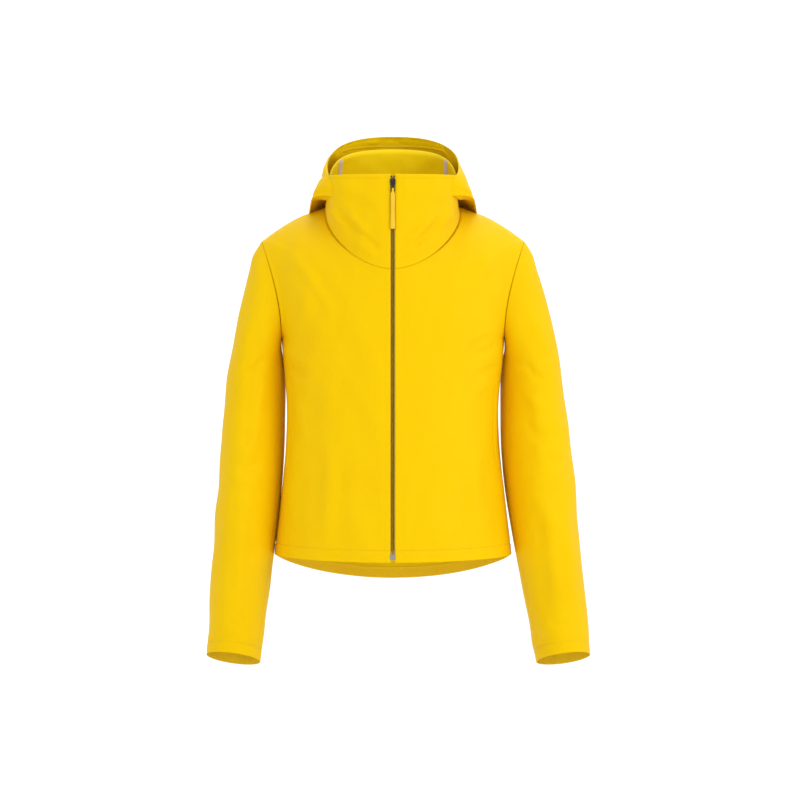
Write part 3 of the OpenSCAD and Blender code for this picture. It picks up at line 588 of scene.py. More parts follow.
def sheet(name, grid, outward, materials, nodes, body="root", thick=CLOTH, wrap=False, cut=None):
    """One cut sheet of cloth: the solids that it stands for, its finish, and the body it rides on."""
    piece = cloth(name, grid, outward, thick, materials, wrap)
    declare(grid if cut is None else cut, wrap)
    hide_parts(*nodes)
    if body:
        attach(piece, body)
    return piece


def inside(name, grid, normals, part, depth, thick, material, node, body="root", wrap=False):
    """A lining, facing or tape: part of a panel, depth mm under its face."""
    cut, out = grid[part], normals[part]
    sheet(name, cut - out * depth, out, [material], [node], body, thick, wrap, cut)


def fitted(piece, node, body):
    """A rigid piece: the solid that it stands for, and the body it rides on."""
    if node:
        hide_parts(node)
    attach(piece, body)


# Materials

def new_material(name):
    material = bpy.data.materials.new(name)
    material.use_nodes = True
    nodes = material.node_tree.nodes
    return material, nodes, material.node_tree.links, nodes["Principled BSDF"]


def add(nodes, kind, **values):
    node = nodes.new(kind)
    for key, value in values.items():
        if key in node.inputs:
            node.inputs[key].default_value = value
        else:
            setattr(node, key, value)
    return node


def noise(nodes, links, place, scale, detail, roughness, distortion=0.0):
    node = add(nodes, "ShaderNodeTexNoise", Scale=scale, Detail=detail, Roughness=roughness, Distortion=distortion)
    links.new(place, node.inputs["Vector"])
    return node.outputs["Fac"]


def scale_by(nodes, links, socket, factor, plus=0.0):
    node = add(nodes, "ShaderNodeMath", operation="MULTIPLY_ADD")
    links.new(socket, node.inputs[0])
    node.inputs[1].default_value = factor
    node.inputs[2].default_value = plus
    return node.outputs[0]


def combine(nodes, links, a, b, operation="ADD"):
    node = add(nodes, "ShaderNodeMath", operation=operation)
    links.new(a, node.inputs[0])
    links.new(b, node.inputs[1])
    return node.outputs[0]


def shaded(nodes, links, share, dark, light, end=1.0):
    """A colour between dark and light."""
    ramp = add(nodes, "ShaderNodeValToRGB")
    ramp.color_ramp.elements[0].color = (*dark, 1)
    ramp.color_ramp.elements[1].color = (*light, 1)
    ramp.color_ramp.elements[1].position = end
    links.new(share, ramp.inputs[0])
    return ramp.outputs["Color"]


def bumped(nodes, links, shader, height, strength, distance):
    bump = add(nodes, "ShaderNodeBump", Strength=strength, Distance=distance)
    links.new(height, bump.inputs["Height"])
    links.new(bump.outputs[0], shader.inputs["Normal"])


def woven(name, colour, deep, roughness=0.6, sheen=0.12, thread=0.00042, weave=1.0, crinkle=1.0):
    """Plain-weave cloth: two thread directions, faint shade changes and fine crinkles."""
    material, nodes, links, shader = new_material(name)
    uv = add(nodes, "ShaderNodeUVMap", uv_map="cut")
    place = add(nodes, "ShaderNodeTexCoord").outputs["Object"]
    threads = []
    for direction in ("X", "Y"):
        wave = add(nodes, "ShaderNodeTexWave", wave_type="BANDS", bands_direction=direction, wave_profile="SIN",
                   Scale=0.314 / thread / 2, Distortion=0.6, Detail=1.0)
        links.new(uv.outputs[0], wave.inputs["Vector"])
        threads.append(wave.outputs["Fac"])
    cloth_grain = combine(nodes, links, *threads, "MULTIPLY")
    cloudy = noise(nodes, links, place, 9.0, 3.0, 0.55)
    fine = noise(nodes, links, place, 420.0, 2.0, 0.6)
    small = noise(nodes, links, place, 70.0, 4.0, 0.55, 0.4)
    broad = noise(nodes, links, place, 26.0, 2.0, 0.5, 0.6)
    share = combine(nodes, links, scale_by(nodes, links, cloudy, 0.7, -0.15),
                    scale_by(nodes, links, cloth_grain, 0.35 * weave))
    links.new(shaded(nodes, links, share, deep, colour, 0.55), shader.inputs["Base Color"])
    rough = combine(nodes, links, scale_by(nodes, links, fine, 0.12, roughness - 0.1),
                    scale_by(nodes, links, cloth_grain, 0.08))
    links.new(rough, shader.inputs["Roughness"])
    shader.inputs["Sheen Weight"].default_value = sheen
    shader.inputs["Sheen Roughness"].default_value = 0.45
    shader.inputs["Sheen Tint"].default_value = (1.0, 0.78, 0.12, 1)
    shader.inputs["Specular IOR Level"].default_value = 0.2
    shader.inputs["Specular Tint"].default_value = (1.0, 0.82, 0.25, 1)
    height = combine(nodes, links, scale_by(nodes, links, small, 0.00035 * crinkle),
                     scale_by(nodes, links, broad, 0.0011 * crinkle))
    height = combine(nodes, links, height, scale_by(nodes, links, cloth_grain, 0.00008 * weave))
    bumped(nodes, links, shader, height, 1.0, 1.0)
    return material


def hard(name, colour, metallic, roughness, coat=0.0, mottle=0.25, edge=None):
    """Metal or moulded plastic, with small scratches and uneven gloss. The edge colour, where set, is a painted
    highlight that shows away from the middle.
    """
    material, nodes, links, shader = new_material(name)
    place = add(nodes, "ShaderNodeTexCoord").outputs["Object"]
    patches = noise(nodes, links, place, 900.0, 4.0, 0.6)
    stretch = add(nodes, "ShaderNodeMapping", Scale=(1.0, 1.0, 0.12))
    links.new(place, stretch.inputs["Vector"])
    lines = noise(nodes, links, stretch.outputs[0], 4200.0, 2.0, 0.5)
    tone = shaded(nodes, links, patches, [c * (1 - mottle) for c in colour], colour)
    # Painted highlight: a lighter colour towards the outer ends, away from the middle, where light would catch them.
    if edge:
        across = add(nodes, "ShaderNodeSeparateXYZ")
        links.new(place, across.inputs[0])
        size = add(nodes, "ShaderNodeMath", operation="ABSOLUTE")
        links.new(across.outputs["X"], size.inputs[0])
        share = scale_by(nodes, links, size.outputs[0], 1400.0, -2.6)
        share.node.use_clamp = True
        both = add(nodes, "ShaderNodeMix", data_type="RGBA")
        links.new(share, both.inputs["Factor"])
        links.new(tone, both.inputs[6])
        both.inputs[7].default_value = (*edge, 1)
        tone = both.outputs[2]
    links.new(tone, shader.inputs["Base Color"])
    links.new(scale_by(nodes, links, patches, 0.2, roughness - 0.1), shader.inputs["Roughness"])
    bumped(nodes, links, shader, lines, 0.4, 0.0002)
    shader.inputs["Metallic"].default_value = metallic
    shader.inputs["Coat Weight"].default_value = coat
    return material


shell_cloth = woven("shell cloth", (0.955, 0.62, 0.0), (0.92, 0.565, 0.0), sheen=0.08)
# Painted light: the inner faces are the cloth's own yellow, painted lighter and less orange than the shell's to stand
# in for light inside the hood, collar and hems.
inner_cloth_painted_lighter = woven("inner face of the cloth, painted lighter", (0.95, 0.69, 0.004), (0.90, 0.63, 0.002), roughness=0.5, sheen=0.04)
facing_cloth = woven("facing cloth", (0.94, 0.63, 0.02), (0.88, 0.56, 0.012), roughness=0.66, sheen=0.04)
zip_cloth = woven("zip tape cloth", (0.90, 0.60, 0.03), (0.74, 0.44, 0.01), thread=0.0005, weave=2.0, crinkle=0.2)
tape_film = woven("seam tape film", (0.66, 0.58, 0.66), (0.58, 0.50, 0.58), roughness=0.36, sheen=0.0,
                  weave=0.4, crinkle=0.5)
loop_cloth = woven("loop webbing", (0.20, 0.12, 0.03), (0.10, 0.06, 0.015), thread=0.0007, weave=3.0, crinkle=0.2)
label_cloth = woven("label satin", (0.80, 0.76, 0.68), (0.70, 0.66, 0.58), roughness=0.4, crinkle=0.2)
thread_finish = hard("sewing thread", (0.93, 0.57, 0.01), 0.0, 0.55)
# The coil's dark plastic, with a painted highlight of light tan on the teeth's outer ends.
coil_plastic_with_painted_highlight = hard("coil plastic with painted highlight", (0.045, 0.028, 0.008), 0.0, 0.34, edge=(0.72, 0.50, 0.12))
black_enamel = hard("black enamel", (0.006, 0.0055, 0.005), 0.0, 0.32, coat=0.08)
dull_plate = hard("dull plated metal", (0.42, 0.40, 0.37), 1.0, 0.34)
grip_rubber = hard("grip rubber", (0.93, 0.60, 0.01), 0.0, 0.6, mottle=0.1)
BOTH_FACES = [shell_cloth, inner_cloth_painted_lighter]
TURNED_CLOTH = [inner_cloth_painted_lighter, shell_cloth]

# Front and back panels

front_vs = np.unique(np.concatenate([
    spread(190, 560) * 0.999, [HEM_STITCH / 567, (HEM_STITCH + 2.5) / 567]]))
front_fracs = spread(80, 225)
stitch_paths = {}


def body_grid(rows, fracs, front):
    points = []
    for v in front_vs:
        k = through(rows, v)
        side = side_point(v, front)
        s0 = ZIP_HALF / (3 * k[1][0]) if front else 0.0
        s1 = 1 - 0.1 / (3 * np.linalg.norm(side - k[2]))
        points.append(bezier([k[0], k[1], k[2], side], mix(s0, s1, fracs)))
    return np.array(points)


def stitch_row(grid, normals, d, column, at=HEM_STITCH, cols=slice(3, -3)):
    """The row of a grid where d is at, and the line of thread that lies on it."""
    row_number = int(np.argmin(np.abs(d[:, column] - at)))
    return row_number, (grid + normals * THREAD_PROUD)[row_number, cols]


def make_front(side, name):
    grid = body_grid(FRONT_ROWS, front_fracs, True)
    if side < 0:
        grid = mirrored(grid)
    normals = outward_of(grid, FORWARD)
    from_zip, up = arc(grid, 1), arc(grid, 0)
    from_side, from_top = from_zip[:, -1:] - from_zip, up[-1:] - up
    lift = front_folds(grid) * near_seam(from_side) * ease(from_top, 0, 14)
    lift += turned_hem(up) - seam_dip(from_side, 0.4) - seam_dip(from_top, 0.7) * sewn_neck(grid)
    lift -= 0.35 * np.exp(-((from_zip - 9.5) / 1.6)**2) + 0.8 * (1 - ease(from_zip, 0, 1.6))
    lift -= 0.9 * pocket_slot(grid)
    grid = grid + normals * lift[..., None]
    normals = outward_of(grid, FORWARD)
    sheet(f"front_panel_{name}", grid, normals, BOTH_FACES, [f"front_{name}"])
    hem_row, stitch_paths[f"hem_{name}"] = stitch_row(grid, normals, up, 40)
    inside(f"hem_facing_{name}_cloth", grid, normals, np.s_[1:hem_row + 1, 4:-4], 1.1, 0.4, facing_cloth,
           f"hem_facing_{name}")
    below = np.flatnonzero(front_vs < V_ARMPIT - 0.02)[4:-3]
    above = np.flatnonzero(front_vs > V_TIP + 0.02)[:-3]
    for label, part, node in (("side", below, f"side_seam_tape_{name}"), ("shoulder", above, f"shoulder_tape_{name}")):
        inside(f"{label}_seam_tape_strip_{name}", grid, normals, np.s_[part[0]:part[-1] + 1, -11:-1], 1.1, 0.25,
               tape_film, node)
    make_pocket(name, grid, normals)


def pocket_slot(grid):
    """How near each point is to the pocket's slot, 0 to 1."""
    u, z = arc(grid, 1), grid[..., 2]
    low, high = POCKET_BAND
    return (np.exp(-((u - POCKET_SHARE * u[:, -1:]) / 1.2)**2)
            * ease(z, low - 3, low + 3) * (1 - ease(z, high - 3, high + 3)))


def make_pocket(name, grid, normals):
    rows = np.flatnonzero((grid[:, 60, 2] > POCKET_BAND[0]) & (grid[:, 60, 2] < POCKET_BAND[1]))
    first, end = rows[0], rows[-1] + 1
    u = arc(grid, 1)
    from_slot = u - POCKET_SHARE * u[:, -1:]
    cols = np.flatnonzero(np.abs(from_slot[first]) < WELT_HALF)
    part = np.s_[first:end, cols[0]:cols[-1] + 1]
    d = from_slot[part]
    lift = 1.15 * (1 - np.clip(np.abs(d / WELT_HALF), 0, 1)**4) - 0.7 * np.exp(-(d / 0.9)**2)
    along = np.linspace(0, 1, end - first)[:, None]
    lift = lift * ease(along, 0, 0.03) * (1 - ease(along, 0.97, 1)) + 0.25
    outer = grid[part] + normals[part] * lift[..., None]
    sheet(f"pocket_welt_fold_{name}", outer, outward_of(outer, FORWARD), [shell_cloth], [f"pocket_welt_{name}"],
          thick=0.9)
    part = np.s_[first - 12:end + 5, 30:cols[-1] + 3]
    n = normals[part]
    sag = np.outer(*(np.sin(np.linspace(0, math.pi, count)) for count in n.shape[:2]))
    sheet(f"pocket_bag_cloth_{name}", grid[part] - n * (1.4 + 1.2 * sag)[..., None], n, [inner_cloth_painted_lighter],
          [f"pocket_bag_{name}"], thick=0.7)


def make_back():
    left = body_grid(BACK_ROWS, spread(84, 225, first=False), False)
    grid = np.concatenate([mirrored(left[:, :0:-1]), left], axis=1)
    normals = outward_of(grid, -FORWARD)
    across, up = arc(grid, 1), arc(grid, 0)
    lift = back_folds(grid)
    for d in (across[:, -1:] - across, across):
        lift = lift * near_seam(d) - seam_dip(d)
    lift += turned_hem(up) - seam_dip(up[-1:] - up)
    grid = grid + normals * lift[..., None]
    normals = outward_of(grid, -FORWARD)
    sheet("back_panel", grid, normals, BOTH_FACES, ["back"])
    hem_row, stitch_paths["hem_back"] = stitch_row(grid, normals, up, 80)
    inside("hem_facing_back_cloth", grid, normals, np.s_[1:hem_row + 1, 4:-4], 1.1, 0.4, facing_cloth,
           "hem_facing_back")


for side, name in SIDES:
    make_front(side, name)
make_back()


# Collar

def make_collar(side, name):
    grid = []
    for v in spread(52, 140) * 0.998 + 0.001:
        k = through(COLLAR_ROWS, v)
        grid.append(bezier(k, mix(ZIP_HALF / (3 * k[1][0]), 0.998, spread(56, 125))))
    grid = np.array(grid)
    if side < 0:
        grid = mirrored(grid)
    normals = outward_of(grid, FORWARD)
    across, up = arc(grid, 1), arc(grid, 0)
    top = up[-1:] - up
    lift = front_folds(grid) * ease(across[:, -1:] - across, 0, 8) * ease(top, 0, 9) * ease(up, 0, 14)
    lift -= seam_dip(up, 0.7) * sewn_neck(grid)
    lift -= 0.8 * (1 - ease(across, 0, 1.6)) + 0.35 * np.exp(-((across - 9.5) / 1.6)**2)
    lift -= 0.45 * np.exp(-((top - COLLAR_STITCH) / 1.2)**2) + 0.5 * (1 - ease(top, 0, 1.2))
    grid = grid + normals * lift[..., None]
    normals = outward_of(grid, FORWARD)
    sheet(f"collar_panel_{name}", grid, normals, BOTH_FACES, [f"collar_{name}"])
    inside(f"collar_lining_cloth_{name}", grid, normals, np.s_[1:-1, 4:-3], 1.15, 0.5, inner_cloth_painted_lighter,
           f"collar_lining_{name}")
    _, stitch_paths[f"collar_{name}"] = stitch_row(grid, normals, top, 30, COLLAR_STITCH, slice(4, -3))


for side, name in SIDES:
    make_collar(side, name)


# Hood

def hood_folds(p):
    xz = p[..., [0, 2]]
    total = sum(crease(xz, *c) for c in HOOD_CREASES) * (1 - ease(p[..., 1], 10, 60))
    return total + ripple(xz, 31, 6, (70, 60), 1.0) + ripple(xz, 32, 6, (34, 40), 0.35)


def neck_folds(p):
    xz = p[..., [0, 2]]
    return ripple(xz, 41, 5, (60, 50), 0.5) + crease(xz, [(10, 84), (14, 62), (12, 40)], 6, -1.0)


def make_neck():
    vs = np.unique(np.concatenate([np.linspace(0.004, 0.42, 36), np.linspace(0.42, 0.515, 22)]))
    grid = hood_grid(NECK_PANEL_ROWS, vs, np.linspace(-0.985, 0.985, 150))
    inward = -grid_normals(grid)
    if np.sum(inward[:20] * grid[:20]) > 0:
        inward = -inward
    lift = neck_folds(grid) * (ease(vs, 0.03, 0.1) * (1 - ease(vs, 0.36, 0.44)))[:, None]
    grid = grid + inward * lift[..., None]
    down = grid[:1] - grid[1:2]
    lap = grid[:1] + 2.2 * down / np.linalg.norm(down, axis=-1, keepdims=True)
    sheet("neck_stand", np.concatenate([lap, grid]), inward[np.r_[0, :len(grid)]], TURNED_CLOTH, ["hood_neck_panel"],
          cut=grid)
    for name, cols in (("left", slice(119, 126)), ("right", slice(24, 31))):
        inside(f"hood_seam_tape_strip_{name}", grid, inward, np.s_[1:42, cols], -0.5, 0.3, tape_film,
               "hood_seam_tapes")
    inside("blank_neck_label", grid, inward, np.s_[4:15, 66:84], -0.9, 0.4, label_cloth, "neck_label")
    make_hang_loop((grid + inward * 0.6)[6])


def make_hang_loop(row_of_points):
    x = np.linspace(-24, 24, 33)
    y, z = (np.interp(x, row_of_points[:, 0], row_of_points[:, n]) for n in (1, 2))
    bow = 3.4 * (1 - (x / 24)**4)
    band = np.array([np.stack([x, y - bow - 1.2, z + rise], -1) for rise in np.linspace(0, 6, 5)])
    sheet("hang_loop_webbing", band, outward_of(band, FORWARD), [loop_cloth], ["hang_loop"], thick=0.9)


def make_inner_side():
    """The hood's inner side, from the fold behind the neck to its lower edge, in two halves."""
    vs, middle = np.linspace(0.505, 1, 48), 75
    grid = drawn_in(hood_grid(LEG_ROWS, vs, np.linspace(-0.985, 0.985, 2 * middle + 1)))
    away = outward_of(grid, vec(0, 0, 1))
    lift = ripple(grid[..., [0, 2]], 42, 5, (70, 60), 0.9) * (ease(vs, 0.56, 0.7) * (1 - ease(vs, 0.9, 1)))[:, None]
    grid = grid + away * lift[..., None]
    for (side, name), cols in zip(SIDES, (slice(middle, None), slice(0, middle + 1))):
        half = sheet(f"hood_inner_side_{name}", grid[:, cols], away[:, cols], TURNED_CLOTH, ["hood_neck_panel"],
                     body=None)
        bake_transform(half)


def make_hood_part(name, vs, ss, node, sewn, brim=False):
    """Part of the hood's outer surface; sewn says which of its low, high, right and left edges are seams."""
    grid = drawn_in(hood_grid(OUTER_ROWS, vs, ss))
    away = grid_normals(grid)
    if np.sum(away * (grid - vec(0, 60, 20))) < 0:
        away = -away
    across, up = arc(grid, 1), arc(grid, 0)
    edges = (up, up[-1:] - up, across, across[:, -1:] - across)
    lift = hood_folds(grid) * math.prod(near_seam(d, 10) for d in edges)
    lift -= sum(seam_dip(d) for d, is_sewn in zip(edges, sewn) if is_sewn)
    if brim:
        lift += 0.9 * np.exp(-((up - up[-1:] + 3.5) / 3.0)**2)
    grid = drawn_in(grid + away * lift[..., None])
    sheet(name, grid, outward_of(grid, away), BOTH_FACES, [node], body="hood", thick=CLOTH + (0.6 if brim else 0))
    return grid, away


make_neck()
make_inner_side()
crown_ss = np.unique(np.concatenate([spread(96, 330) * 2 * CROWN_EDGE - CROWN_EDGE, [0.0]]))
make_hood_part("hood_crown_panel", spread(64, 180) * V_BRIM, crown_ss, "hood_crown", (False, True, True, True))
brim_grid, brim_away = make_hood_part("hood_brim_band", mix(V_BRIM, 1.0, spread(9, 16, fine=(0.6, 1.4))), crown_ss,
                                      "hood_brim", (True, False, False, False), brim=True)
stitch_paths["brim"] = (brim_grid + brim_away * THREAD_PROUD)[3, 6:-6]
for side, name in SIDES:
    make_hood_part(f"hood_cheek_panel_{name}", spread(70, 190), np.sort(side * mix(CROWN_EDGE, 1.0, spread(64, 190))),
                   f"hood_cheek_{name}", (False, False, side > 0, side < 0))


# Sleeves

def sleeve_angles():
    """Angles round the sleeve in degrees, closer together at the under panel's two seams."""
    fine = np.array([0.5, 1.1, 1.8, 2.7, 3.8, 5.2, 7.0, 9.4]) * 360 / 330
    angles = list(np.linspace(0, 360, 116, endpoint=False))
    for seam in UNDER_SEAMS:
        angles = [a for a in angles if abs(a - seam) > 11] + [seam] + list(seam - fine) + list(seam + fine)
    return np.array(sorted(angles))


def make_sleeve(side, name):
    angles = sleeve_angles()
    ts = np.unique(np.concatenate([spread(205, 660) * 0.998 + 0.0005, [0.9725, 0.9765]]))
    rings = sleeve_rings(CUFF_OUT[side])
    grid = np.array([ring_point(through(rings, t), angles) for t in ts])
    if side < 0:
        grid = mirrored(grid)
    away = grid_normals(grid, wrap=True)
    if np.sum(away[20:] * (grid - grid.mean(axis=1, keepdims=True))[20:]) < 0:
        away = -away
    along = arc(grid, 0)
    from_cuff = along[-1:] - along
    ring_length = np.linalg.norm(np.roll(grid, -1, 1) - grid, axis=-1).sum(1)[:, None]
    turn, t = np.radians(angles)[None, :], ts[:, None]
    seen = ease(-away[..., 1], -0.2, 0.35)
    lift = 1.4 * sum(crease(grid[..., [0, 2]], *c) for c in SLEEVE_CREASES[side]) * seen
    rng = np.random.default_rng(50 + side)
    for k in range(1, 5):
        a, b = rng.uniform(0, 2 * math.pi, 2)
        lift = lift + 0.75 * np.sin(k * turn + a + 5.2 * t * rng.uniform(-1, 1)) \
            * np.sin(2 * math.pi * t * rng.uniform(1.2, 2.6) + b) * ease(t, 0.02, 0.14)
    for k in range(5):
        a, b = rng.uniform(0, 2 * math.pi, 2)
        lift = lift + 0.42 * np.sin(rng.integers(2, 6) * turn + a) * np.sin(2 * math.pi * t * rng.uniform(5, 9) + b)
    inner_elbow = np.exp(-((turn - math.pi * 0.55) / 0.9)**2) * np.exp(-((t - 0.5) / 0.16)**2)
    lift = lift + 1.5 * inner_elbow * np.sin(2 * math.pi * t * 15 + 1.2 * np.sin(2 * turn))
    beside = ease(-side * away[..., 0], 0.3, 0.8) * (1 - ease(t, 0.7, 0.9))
    lift = lift * (1 - 0.85 * beside) * (1 - 0.8 * ease(t, 0.95, 0.985)) * ease(along, 0, 12)
    lift = lift + SHOULDER_HEAD * np.exp(-((along - 24) / 17)**2) * np.clip(np.cos(turn), 0, 1)**1.5
    for seam in UNDER_SEAMS:
        d = np.abs(angles - seam)[None, :] / 360 * ring_length
        lift = lift * (0.25 + 0.75 * ease(d, 0, 8)) - seam_dip(d, 0.6)
    lift = lift - seam_dip(along, 0.4) + turned_hem(from_cuff, 0.3)
    grid = grid + away * lift[..., None]
    normals = grid_normals(grid, wrap=True)
    if np.sum(normals * away) < 0:
        normals = -normals
    piece = sheet(f"sleeve_{name}", grid, normals, BOTH_FACES,
                  [f"sleeve_{part}_{name}" for part in ("front", "back_upper", "back_lower", "under")], body=None,
                  wrap=True)
    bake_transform(piece)
    cuff_row, thread = stitch_row(grid, normals, from_cuff, 30, cols=slice(None))
    stitch_paths[f"cuff_{name}"] = np.concatenate([thread, thread[:1]])
    inside(f"cuff_facing_cloth_{name}", grid, normals, np.s_[cuff_row - 6:-1], 1.1, 0.4, facing_cloth,
           f"cuff_facing_{name}", body=f"sleeve_{name}", wrap=True)


for side, name in SIDES:
    make_sleeve(side, name)


# Stitches and coil teeth, by Geometry Nodes

def repeating_tree(name, inputs, material, make_unit):
    """A tree that sets one small unit after another along a path; its first input is the distance between them."""
    tree = bpy.data.node_groups.new(name, "GeometryNodeTree")
    tree.interface.new_socket("Geometry", in_out="INPUT", socket_type="NodeSocketGeometry")
    for label, value in inputs.items():
        tree.interface.new_socket(label, in_out="INPUT", socket_type="NodeSocketFloat").default_value = value
    tree.interface.new_socket("Geometry", in_out="OUTPUT", socket_type="NodeSocketGeometry")

    def new(kind, **values):
        return add(tree.nodes, kind, **values)

    def link(*sockets):
        for a, b in zip(sockets[::2], sockets[1::2]):
            tree.links.new(a, b)

    entry, leave = new("NodeGroupInput"), new("NodeGroupOutput")
    curve, points = new("GeometryNodeMeshToCurve"), new("GeometryNodeResampleCurve", mode="LENGTH")
    place, real = new("GeometryNodeInstanceOnPoints"), new("GeometryNodeRealizeInstances")
    paint = new("GeometryNodeSetMaterial", Material=material)
    link(entry.outputs["Geometry"], curve.inputs[0], curve.outputs[0], points.inputs["Curve"],
         entry.outputs[1], points.inputs["Length"], points.outputs[0], place.inputs["Points"],
         place.outputs[0], real.inputs[0], real.outputs[0], paint.inputs["Geometry"], paint.outputs[0], leave.inputs[0])
    make_unit(new, link, entry.outputs, place.inputs)
    return tree


def stitch_unit(new, link, sizes, place):
    """A short raised stitch, laid along the path."""
    stitch = new("GeometryNodeMeshCylinder", **{"Vertices": 6, "Side Segments": 2})
    tangent, align = new("GeometryNodeInputTangent"), new("FunctionNodeAlignRotationToVector", axis="Z")
    link(sizes["Length"], stitch.inputs["Depth"], sizes["Thickness"], stitch.inputs["Radius"],
         stitch.outputs["Mesh"], place["Instance"], tangent.outputs[0], align.inputs["Vector"],
         align.outputs[0], place["Rotation"])


def tooth_unit(new, link, sizes, place):
    """One turn of the coil: a rounded bar across the zip."""
    tooth = new("GeometryNodeMeshUVSphere", Segments=8, Rings=5, Radius=0.5)
    size = new("ShaderNodeCombineXYZ", Y=0.0021)
    link(sizes["Tooth width"], size.inputs["X"], sizes["Tooth thickness"], size.inputs["Z"],
         tooth.outputs["Mesh"], place["Instance"], size.outputs[0], place["Scale"])


def grown(name, points, tree):
    """Runs a tree along a path and returns the result as a plain mesh."""
    line = bpy.data.meshes.new(name + "_path")
    line.from_pydata([tuple(p) for p in np.asarray(points) * MM], [(i, i + 1) for i in range(len(points) - 1)], [])
    source = linked(name + "_path", line)
    source.modifiers.new("grow", "NODES").node_group = tree
    mesh = bpy.data.meshes.new_from_object(source.evaluated_get(bpy.context.evaluated_depsgraph_get()))
    source.modifiers.clear()
    bpy.data.objects.remove(source)
    mesh.name = name
    smooth(mesh)
    return linked(name, mesh)


stitching = repeating_tree("stitching", {"Spacing": 0.0031, "Length": 0.0021, "Thickness": 0.00021}, thread_finish,
                           stitch_unit)
coil_rows = repeating_tree("zip coil", {"Pitch": 0.0014, "Tooth width": 0.0026, "Tooth thickness": 0.0011},
                           coil_plastic_with_painted_highlight, tooth_unit)
for where, points in stitch_paths.items():
    body = where.replace("cuff", "sleeve") if where.startswith("cuff") else "hood" if where == "brim" else "root"
    fitted(grown("stitches_" + where, points, stitching), None, body)


# Front zip

def along_zip(xs, zs, depth):
    """A grid of points on the zip's line, depth(x, z) mm behind it."""
    return np.array([[on_zip(z) + (x, depth(x, z), 0) for x in xs] for z in zs])


for side, name in SIDES:
    z0, z1 = ZIP_BOTTOM + 14 + (0.7 if side < 0 else 0), ZIP_TOP - 2.5
    ends = [on_zip(z) + (side * COIL_X, COIL_DEPTH, 0) for z in (z0, z1)]
    fitted(grown(f"coil_teeth_{name}", ends, coil_rows), f"zip_coil_{name}", "root")
    strip = along_zip(side * np.linspace(2.95, 8.45, 9), np.linspace(ZIP_BOTTOM, ZIP_TOP, 120),
                      lambda x, z: 1.75 + 0.12 * math.sin(abs(x) * 4.0))
    sheet(f"zip_tape_cloth_{name}", strip, outward_of(strip, FORWARD), [zip_cloth], [f"zip_tape_{name}"],
          thick=0.5)
flap = along_zip(np.linspace(-11.2, 11.2, 33), np.linspace(ZIP_BOTTOM + 2, ZIP_TOP - 2, 140),
                 lambda x, z: mix(4.1, 2.65, ease(abs(x), 5.7, 7.7)) + 0.15 * math.sin(z / 31 + x / 6))
sheet("storm_flap_cloth", flap, outward_of(flap, FORWARD), [facing_cloth], ["storm_flap"], thick=0.5)


def zip_place(points, z):
    """Moves points given across, inward and along the zip to the zip's line at height z."""
    x, y, up = np.asarray(points, float).T
    c, s = math.cos(-ZIP_ANGLE), math.sin(-ZIP_ANGLE)
    return np.stack([x, y * c - up * s, y * s + up * c], -1) + on_zip(z)


def solid(name, verts, faces, material, bevel=0.0):
    """A closed mesh from points in mm, with softened edges where bevel is set."""
    mesh = bpy.data.meshes.new(name)
    mesh.from_pydata([tuple(p) for p in np.asarray(verts) * MM], [], faces)
    shape = bmesh.new()
    shape.from_mesh(mesh)
    bmesh.ops.recalc_face_normals(shape, faces=shape.faces)
    if bevel:
        edges = [e for e in shape.edges if len(e.link_faces) == 2 and e.calc_face_angle() > 0.4]
        bmesh.ops.bevel(shape, geom=edges, offset=bevel * MM, segments=3, profile=0.6, affect="EDGES",
                        clamp_overlap=True)
    shape.to_mesh(mesh)
    shape.free()
    mesh.materials.append(material)
    smooth(mesh, 42)
    return linked(name, mesh)


def lofted(name, rings, z, material, closed=False):
    """A skin over rings of points on the zip, joined in a loop or capped at its ends."""
    m, k = rings.shape[:2]
    faces = [(i * k + j, i * k + (j + 1) % k, (i + 1) % m * k + (j + 1) % k, (i + 1) % m * k + j)
             for i in range(m if closed else m - 1) for j in range(k)]
    if not closed:
        faces += [tuple(range(k)), tuple(range((m - 1) * k, m * k))]
    return solid(name, zip_place(rings.reshape(-1, 3), z), faces, material)


def slab(outline, near, far, point=lambda p, q, d: (p, d, q)):
    """An outline drawn out from near to far; point says where its two values and the distance go."""
    n = len(outline)
    verts = [point(p, q, d) for d in (near, far) for p, q in outline]
    faces = [tuple(range(n)), tuple(range(2 * n - 1, n - 1, -1))]
    return verts, faces + [(i, (i + 1) % n, n + (i + 1) % n, n + i) for i in range(n)]


def joined(parts):
    verts, faces = [], []
    for v, f in parts:
        faces += [tuple(i + len(verts) for i in face) for face in f]
        verts += list(v)
    return verts, faces


def both_sides(half):
    """An outline whose left half mirrors its right half."""
    return half + [(-x, z) for x, z in reversed(half)]


def make_slider():
    plate = both_sides([(2.0, 5.5), (3.9, 4.3), (4.3, 2.6), (3.5, -1.6), (2.9, -4.4), (2.2, -5.5)])
    neck = both_sides([(0.9, 5.2), (0.55, 1.2)])
    bridge = [(4.4, -1.5), (4.2, -3.4), (3.2, -4.45), (1.2, -4.45), (-1.0, -4.45), (-1.6, -4.2),
              (-1.2, -3.6), (2.6, -3.55), (3.1, -3.1), (3.3, -1.5)]
    verts, faces = joined([slab(plate, -1.65, -0.55), slab(plate, 2.6, 3.7), slab(neck, -0.6, 2.65),
                           slab(bridge, -1.1, 1.1, lambda z, y, x: (x, y, z))])
    slider = solid("zip_slider_body", zip_place(verts, SLIDER_Z), faces, black_enamel, bevel=0.28)
    fitted(slider, "front_slider", "zip_slider")


